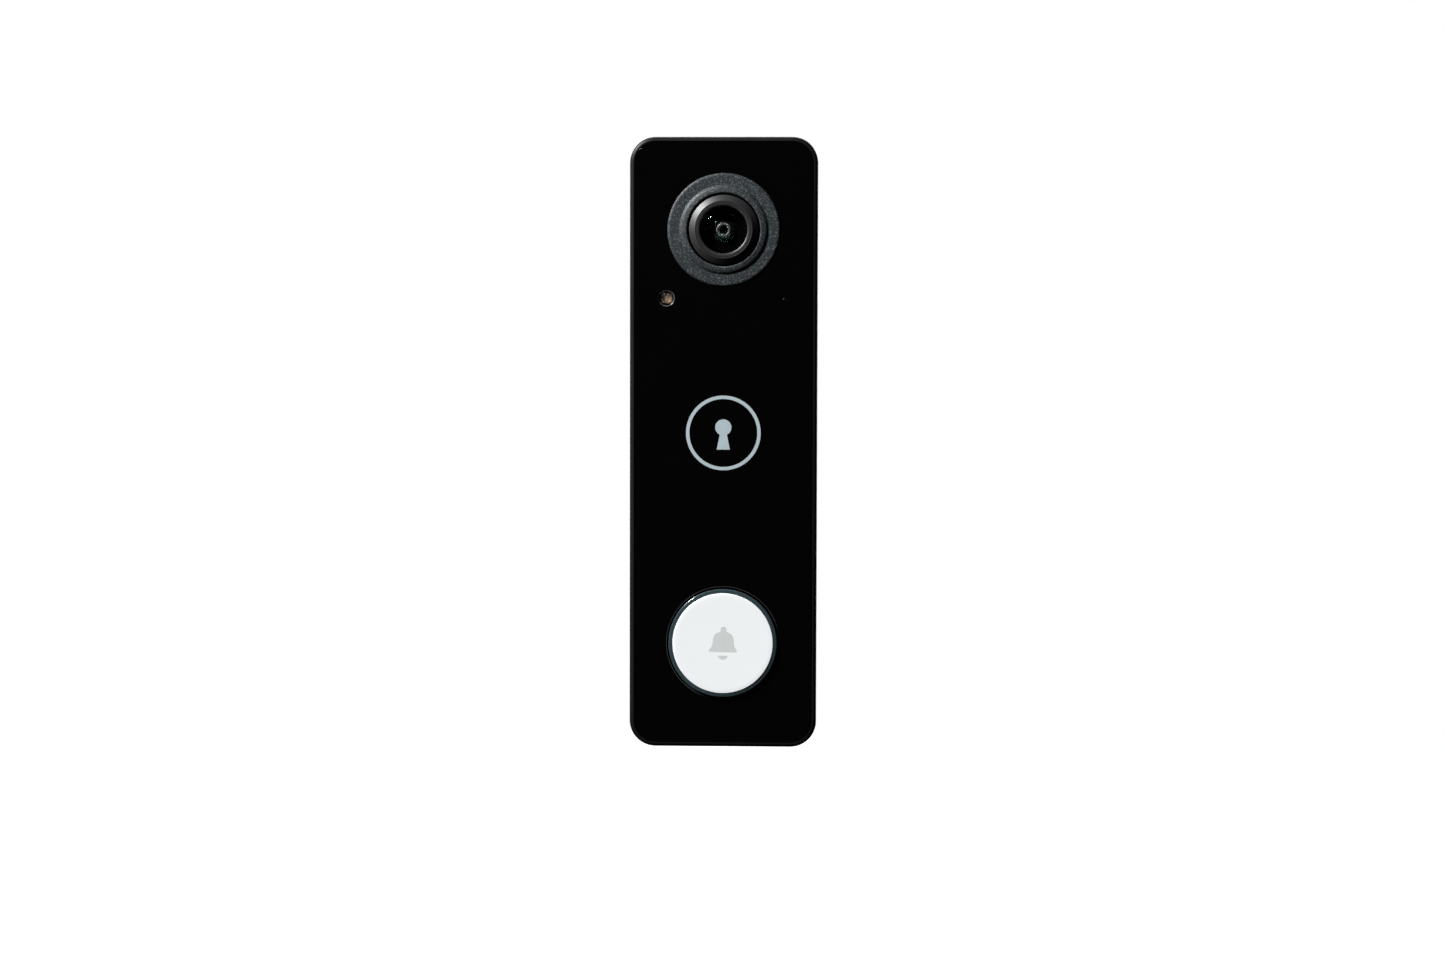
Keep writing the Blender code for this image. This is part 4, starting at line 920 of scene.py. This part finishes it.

# ---------------------------------------------------------------- front panel
# The cover is a flat 1.2 mm sheet of near-black polycarbonate, bonded into the rim. It is polished
# on the front and lets the night-vision lamps through. Its holes have finely rounded edges, and a
# thin pale grey ring round the hole for the button is a painted highlight on that edge.
panel = slab(
    "front_panel_polished", case_wide - 2.5, case_high - 2.5, case_corner - 1.25, -23.6, -22.4, steps=16
)
panel_holes = [
    rod("panel_hole", radius, -25.0, -21.0, x, z, sides)
    for radius, x, z, sides in (
        (13.35, 0.0, camera_z, 160), (13.22, 0.0, button_z, 160),
        (1.95, sensor_x, small_hole_z, 64), (0.4, microphone_x, small_hole_z, 32),
    )
]
fit_together(panel, panel_holes, "DIFFERENCE")
soften(panel, 0.10, segments=3)
panel_black, tree, shader, place = new_finish("panel_black", roughness=0.05)
smears = use_effect(tree, handling, Vector=place, Size=14.0)["Marks"]
panel_skin = use_effect(tree, moulded_skin, Vector=place, Grain=2.5, Patch=20.0)
panel_tint = between(tree, panel_skin["Tone"], (0.0006, 0.0006, 0.0007, 1), (0.0009, 0.0009, 0.001, 1))
from_button = node(tree, "SeparateXYZ", {0: centred(tree, place, 0.0, button_z)}).outputs
from_axis = maths(
    tree, "SQRT", maths(tree, "MULTIPLY_ADD", from_button[0], from_button[0],
    maths(tree, "MULTIPLY", from_button[2], from_button[2]))
)
# Painted highlight: a thin pale grey ring on the edge of the button's hole, equally bright all round.
painted_edge_highlight = ramp(tree, from_axis, 13.28 * mm, 13.38 * mm, 1.0, 0.0)
panel_tint = between(tree, painted_edge_highlight, panel_tint, (0.045, 0.046, 0.045, 1))
link_finish(
    tree, shader, panel_tint, maths(tree, "MULTIPLY_ADD", smears, 0.03, 0.04), panel_skin["Height"], 0.002
)
panel.data.materials.append(panel_black)
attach(panel, "doorbell_unit")
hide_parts("front_panel")

# A disc of woven dust mesh sits in the pinhole, over the microphone.
microphone_mesh = rod("microphone_mesh", 0.37, -23.36, -23.26, microphone_x, small_hole_z, 24)
soften(microphone_mesh, 0.0)
microphone_mesh.data.materials.append(woven)
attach(microphone_mesh, "doorbell_unit")

# ---------------------------------------------------------------- printed mark
# A plain ring with a keyhole in it is screen printed on the panel in pale ink, slightly proud.
mark_z, ink_front, ink_back = 2.5, -23.605, -23.57


def pale_ink(name, low, high):
    """Screen ink: flat, slightly mottled where the mesh of the screen has left it thinner."""
    return mottled(name, 0.12, low, high, 0.5, 0.002, patch=1.5)


mark = turn_on_lathe(
    "printed_mark",
    [(7.95, ink_front), (8.75, ink_front), (8.75, ink_back), (7.95, ink_back), (7.95, ink_front)],
    0.0, mark_z, 128,
)
keyhole_foot = traced_bar(
    "keyhole_foot",
    [
        (-0.75, ink_front, mark_z), (-1.55, ink_front, mark_z - 3.9),
        (1.55, ink_front, mark_z - 3.9), (0.75, ink_front, mark_z),
    ],
    (0.0, 0.042, 0.0),
)
keyhole = rod("keyhole", 1.9, ink_front, ink_back, 0.0, mark_z + 1.3, 64)
fit_together(keyhole, [keyhole_foot], "UNION")
fit_together(mark, [keyhole], "UNION")
soften(mark, 0.0)
mark.data.materials.append(pale_ink("mark_ink", (0.30, 0.37, 0.39, 1), (0.46, 0.55, 0.58, 1)))
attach(mark, "doorbell_unit")

# ---------------------------------------------------------------- light sensor and its window
# A small gold-plated sensor sits right behind a clear moulded window under the camera. The window is
# a polished button of polycarbonate that is bonded in the panel's hole.
window = turn_on_lathe(
    "sensor_window_moulded",
    [*dome(1.62, -23.58, 7.0, 8), (1.72, -23.36), (1.80, -23.26), (1.80, -23.0), (0.0, -23.0)],
    sensor_x, small_hole_z, 64,
)
soften(window, 0.0, angle=32)
window_clear = clear_glass("window_clear", (0.94, 0.97, 1.0, 1.0), (1.0, 1.0, 1.0, 1.0), 1.4, 0.05)
window.data.materials.append(window_clear)
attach(window, "doorbell_unit")
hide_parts("sensor_window")

# A bead of clear adhesive fills the corner between the window and its hole.
bead = turn_on_lathe(
    "window_bead",
    [
        (1.82, -23.05), (1.93, -23.05), (1.93, -23.50), (1.90, -23.49), (1.84, -23.38),
        (1.82, -23.28), (1.82, -23.05),
    ],
    sensor_x, small_hole_z, 64,
)
soften(bead, 0.0, angle=50)
bead_resin = mottled("bead_resin", 0.5, (0.004, 0.005, 0.006, 1), (0.14, 0.15, 0.155, 1), 0.3, 0.01)
bead.data.materials.append(bead_resin)
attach(bead, "doorbell_unit")

sensor = box_bar(
    "light_sensor_built", (sensor_x - 1.25, sensor_x + 1.25), (-22.7, -22.3),
    (small_hole_z - 1.15, small_hole_z + 1.15), 0.1,
)
chip = box_bar(
    "sensor_chip", (sensor_x - 0.85, sensor_x + 0.35), (-22.86, -22.6),
    (small_hole_z - 0.45, small_hole_z + 0.75), 0.05,
)
fit_together(sensor, [chip], "UNION")
soften(sensor, 0.02)
sensor_resin, tree, shader, place = new_finish("sensor_resin", roughness=0.3)
resin_skin = use_effect(tree, moulded_skin, Vector=place, Grain=0.4)
# Painted light: the sensor's lower right corner is painted much lighter, as a pool of lamp light falling
# through the window onto the chip.
to_corner = centred(tree, place, sensor_x + 0.45, small_hole_z - 0.35)
corner_away = node(tree, "VectorMath", {0: to_corner, 1: (1.0, 0.0, 1.0)}, operation="MULTIPLY").outputs[0]
corner_far = node(tree, "VectorMath", {0: corner_away}, operation="LENGTH").outputs["Value"]
painted_light_patch = ramp(tree, corner_far, 0.2 * mm, 1.3 * mm, 1.0, 0.0, "SMOOTHSTEP")
resin = between(tree, resin_skin["Tone"], (0.008, 0.007, 0.006, 1), (0.035, 0.022, 0.014, 1))
resin = between(tree, painted_light_patch, resin, (0.15, 0.095, 0.060, 1))
link_finish(tree, shader, resin, None, resin_skin["Height"])
sensor.data.materials.append(sensor_resin)
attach(sensor, "doorbell_unit")
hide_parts("light_sensor")

first_pad = box_bar(
    "sensor_pads_plated", (sensor_x + 0.50, sensor_x + 0.80), (-22.78, -22.65),
    (small_hole_z - 0.90, small_hole_z - 0.60), 0.08,
)
other_pads = [
    copy_of(first_pad, "sensor_pad", by_x, by_z)
    for by_x, by_z in ((-1.15, 1.70), (-0.35, 1.62), (-1.62, 0.35), (-1.35, -0.12))
]
fit_together(first_pad, other_pads, "UNION")
soften(first_pad, 0.02)
gold = drawn_metal("gold_plate", (0.62, 0.46, 0.22), 0.45)
first_pad.data.materials.append(gold)
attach(first_pad, "doorbell_unit")

# ---------------------------------------------------------------- push button
# The white face is moulded in opal polycarbonate and slightly dished. A smoked clear ring with fine
# turned lines is pressed round it and lights up from behind, and both sit on a black carrier.
face = turn_on_lathe(
    "button_face_moulded",
    [
        *[(r, -48.8 - y) for r, y in dome(11.66, -24.4, 679.8, 12)],
        (11.71, -24.495), (11.75, -24.475), (11.78, -24.445), (11.795, -24.41), (11.80, -24.37),
        (11.80, -23.5), (0.0, -23.5),
    ],
    0.0, button_z, 160,
)
soften(face, 0.0, angle=32)
opal_white, tree, shader, place = new_finish("opal_white", roughness=0.24, Coat_Weight=0.25)
opal_skin = use_effect(tree, moulded_skin, Vector=place, Grain=0.4, Patch=6.0)
opal_marks = use_effect(tree, handling, Vector=place, Size=20.0)["Marks"]
opal_tint = between(tree, opal_skin["Tone"], (0.90, 0.925, 0.93, 1), (0.935, 0.96, 0.963, 1))
link_finish(
    tree, shader, opal_tint, maths(tree, "MULTIPLY_ADD", opal_marks, 0.015, 0.23), opal_skin["Height"], 0.001
)
face.data.materials.append(opal_white)
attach(face, "button")
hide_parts("button_face")

light_ring = turn_on_lathe(
    "button_light_ring_moulded",
    [
        (11.83, -24.30), (11.85, -24.37), (11.90, -24.39), (12.10, -24.34), (12.11, -24.39),
        (12.31, -24.34), (12.32, -24.39), (12.52, -24.34), (12.53, -24.38), (12.66, -24.34),
        (12.72, -24.28), (12.75, -24.18), (12.75, -22.70), (11.83, -22.70), (11.83, -24.30),
    ],
    0.0, button_z, 160,
)
soften(light_ring, 0.0, angle=32)
smoked_clear, tree, shader, place = new_finish(
    "smoked_clear", roughness=0.1, Coat_Weight=1.0, Coat_Roughness=0.03
)
smoke_rings = use_effect(tree, tool_rings, Vector=centred(tree, place, 0.0, button_z), Pitch=0.22)
smoke_tint = between(tree, smoke_rings["Tone"], (0.018, 0.034, 0.040, 1), (0.048, 0.074, 0.082, 1))
link_finish(
    tree, shader, smoke_tint, maths(tree, "MULTIPLY_ADD", smoke_rings["Tone"], 0.2, 0.1),
    smoke_rings["Height"], 0.006,
)
light_ring.data.materials.append(smoked_clear)
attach(light_ring, "button")
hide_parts("button_light_ring")

carrier = turn_on_lathe(
    "button_carrier_moulded",
    [
        (0.0, -23.4), (11.8, -23.4), (11.8, -22.6), (12.7, -22.6), (12.7, -20.5), (14.1, -20.5),
        (14.1, -19.6), (11.2, -19.6), (11.2, -21.6), (3.2, -21.6), (3.2, -16.3), (0.0, -16.3),
    ],
    0.0, button_z, 96,
)
soften(carrier, 0.1)
carrier.data.materials.append(case_black)
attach(carrier, "button")
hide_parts("button_carrier")

# ---------------------------------------------------------------- bell sign on the button
# The bell is pad printed on the dished face in pale grey ink: a bell with its knob, and the clapper
# as a half disc under it.
bell_x, bell_front, bell_back = 0.1, -24.416, -24.38
knob = [
    (0.68 * math.sin(math.radians(turn)), -43.58 + 0.68 * math.cos(math.radians(turn)))
    for turn in range(0, 91, 15)
]
right_half = [
    *knob, (0.70, -44.14), (0.90, -44.22), (1.30, -44.33), (1.62, -44.50), (1.90, -44.78),
    (2.12, -45.10), (2.30, -45.45), (2.42, -45.85), (2.48, -46.30), (2.50, -46.90), (2.54, -47.30),
    (2.66, -47.66), (2.86, -47.96), (3.05, -48.22), (3.20, -48.48), (3.28, -48.72), (3.27, -48.88),
    (3.20, -48.95), (0.0, -48.95),
]
whole = right_half + [(-x, z) for x, z in reversed(right_half[1:-1])]
bell = traced_bar(
    "bell_sign", [(bell_x + x, bell_front, z) for x, z in whole], (0.0, bell_back - bell_front, 0.0)
)
half_disc = [
    (1.1 * math.cos(math.radians(turn)), -49.80 - 0.95 * math.sin(math.radians(turn)))
    for turn in range(0, 181, 12)
]
clapper = traced_bar(
    "clapper", [(bell_x + x, bell_front, z) for x, z in half_disc], (0.0, bell_back - bell_front, 0.0)
)
bpy.ops.object.select_all(action="DESELECT")
clapper.select_set(True)
bell.select_set(True)
bpy.context.view_layer.objects.active = bell
bpy.ops.object.join()
open_all()
bpy.ops.transform.rotate(
    value=math.radians(-1.5), orient_axis="Y", center_override=(0.0, 0.0, button_z * mm)
)
bpy.ops.object.mode_set(mode="OBJECT")
soften(bell, 0.0)
bell.data.materials.append(pale_ink("bell_ink", (0.575, 0.615, 0.605, 1), (0.645, 0.68, 0.665, 1)))
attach(bell, "button")

# ---------------------------------------------------------------- security screw
# A headless black-oxide screw with a hexagonal socket in the foot locks the tab in the case.
lock_screw = turn_on_lathe(
    "security_screw_turned",
    [(0.0, -70.0), (1.3, -70.0), (1.5, -69.8), (1.5, -66.2), (0.8, -65.4), (0.0, -65.4)], 0.0, 0.0, 64,
)
fit_together(lock_screw, [rod("socket", 0.85, -71.0, -68.4, 0.0, 0.0, 6)], "DIFFERENCE")
soften(lock_screw, 0.05)
lock_screw.rotation_euler = (math.pi / 2, 0.0, 0.0)
lock_screw.location = (0.0, lock_screw_y * mm, 0.0)
bpy.ops.object.transform_apply()
oxide, tree, shader, place = new_finish("black_oxide", roughness=0.35, metallic=1.0)
oxide_marks = use_effect(tree, handling, Vector=place, Size=1.5)["Marks"]
oxide_skin = use_effect(tree, moulded_skin, Vector=place, Grain=0.15)
link_finish(
    tree, shader, between(tree, oxide_marks, (0.03, 0.03, 0.033, 1), (0.09, 0.09, 0.095, 1)),
    maths(tree, "MULTIPLY_ADD", oxide_marks, -0.1, 0.4), oxide_skin["Height"], 0.003,
)
lock_screw.data.materials.append(oxide)
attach(lock_screw, "security_screw")
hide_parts("security_screw")

# ---------------------------------------------------------------- floor, lights and camera
# A plain pale floor far below, one small soft lamp from the upper left, and wide dim ones behind for
# the sides and back. The camera stands just right of the middle and looks slightly down.
bpy.ops.object.select_all(action="DESELECT")
bpy.ops.mesh.primitive_circle_add(vertices=96, radius=1.5, fill_type="NGON", location=(0.0, 0.0, -0.30))
floor = name_new("floor")
floor_paper, tree, shader, place = new_finish("floor_paper", roughness=0.8)
floor_tone = node(tree, "TexNoise", {"Vector": place, "Scale": 3.0}).outputs["Fac"]
link_finish(tree, shader, between(tree, floor_tone, (0.86, 0.86, 0.86, 1), (0.9, 0.9, 0.9, 1)))
feed(tree, shader, {"Emission Color": (1.0, 1.0, 1.0, 1.0), "Emission Strength": 0.8})
floor.data.materials.append(floor_paper)
floor.visible_glossy = False
floor.visible_diffuse = False


def lamp(name, towards, distance, size, power):
    """A soft area lamp at this distance in a direction from the object, facing its middle."""
    light = bpy.data.lights.new(name, "AREA")
    light.shape, light.size, light.energy = "DISK", size, power
    holder = bpy.data.objects.new(name, light)
    bpy.context.scene.collection.objects.link(holder)
    spot = Vector(towards).normalized() * distance
    holder.location = spot + Vector((0.0, -0.012, 0.0))
    holder.rotation_euler = spot.to_track_quat("Z", "Y").to_euler()
    holder.visible_camera = False


lamp("key_lamp", (-0.646, -0.407, 0.646), 0.9, 0.205, 21.5)
lamp("right_back_lamp", (0.54, 0.81, 0.22), 1.3, 0.8, 14.0)
lamp("left_back_lamp", (-0.45, 0.88, 0.15), 1.3, 0.8, 9.0)
lamp("top_back_lamp", (0.0, 0.75, 0.66), 1.2, 0.6, 5.0)

world = bpy.data.worlds.new("studio")
world.use_nodes = True
tree = world.node_tree
seen = tree.nodes.new("ShaderNodeLightPath").outputs["Is Camera Ray"]
level = ramp(tree, seen, 0.0, 1.0, 0.012, 1.0)
feed(tree, tree.nodes["Background"], {"Color": (1.0, 1.0, 1.0, 1.0), "Strength": level})
bpy.context.scene.world = world
bpy.context.scene.view_settings.view_transform = "Standard"

camera_data = bpy.data.cameras.new("camera")
camera_data.sensor_width = 36.0
camera_data.lens = 61.40
camera_data.clip_start = 0.01
viewer = bpy.data.objects.new("camera", camera_data)
bpy.context.scene.collection.objects.link(viewer)
yaw, pitch, roll = (math.radians(turn) for turn in (1.8798, 3.0247, 0.1453))
viewer.location = (0.018758, -0.600, 0.021479)
viewer.rotation_euler = (
    Vector((math.sin(yaw) * math.cos(pitch), -math.cos(yaw) * math.cos(pitch), math.sin(pitch)))
    .to_track_quat("Z", "Y")
    .to_euler()
)
viewer.rotation_euler.rotate_axis("Z", roll)
bpy.context.scene.camera = viewer
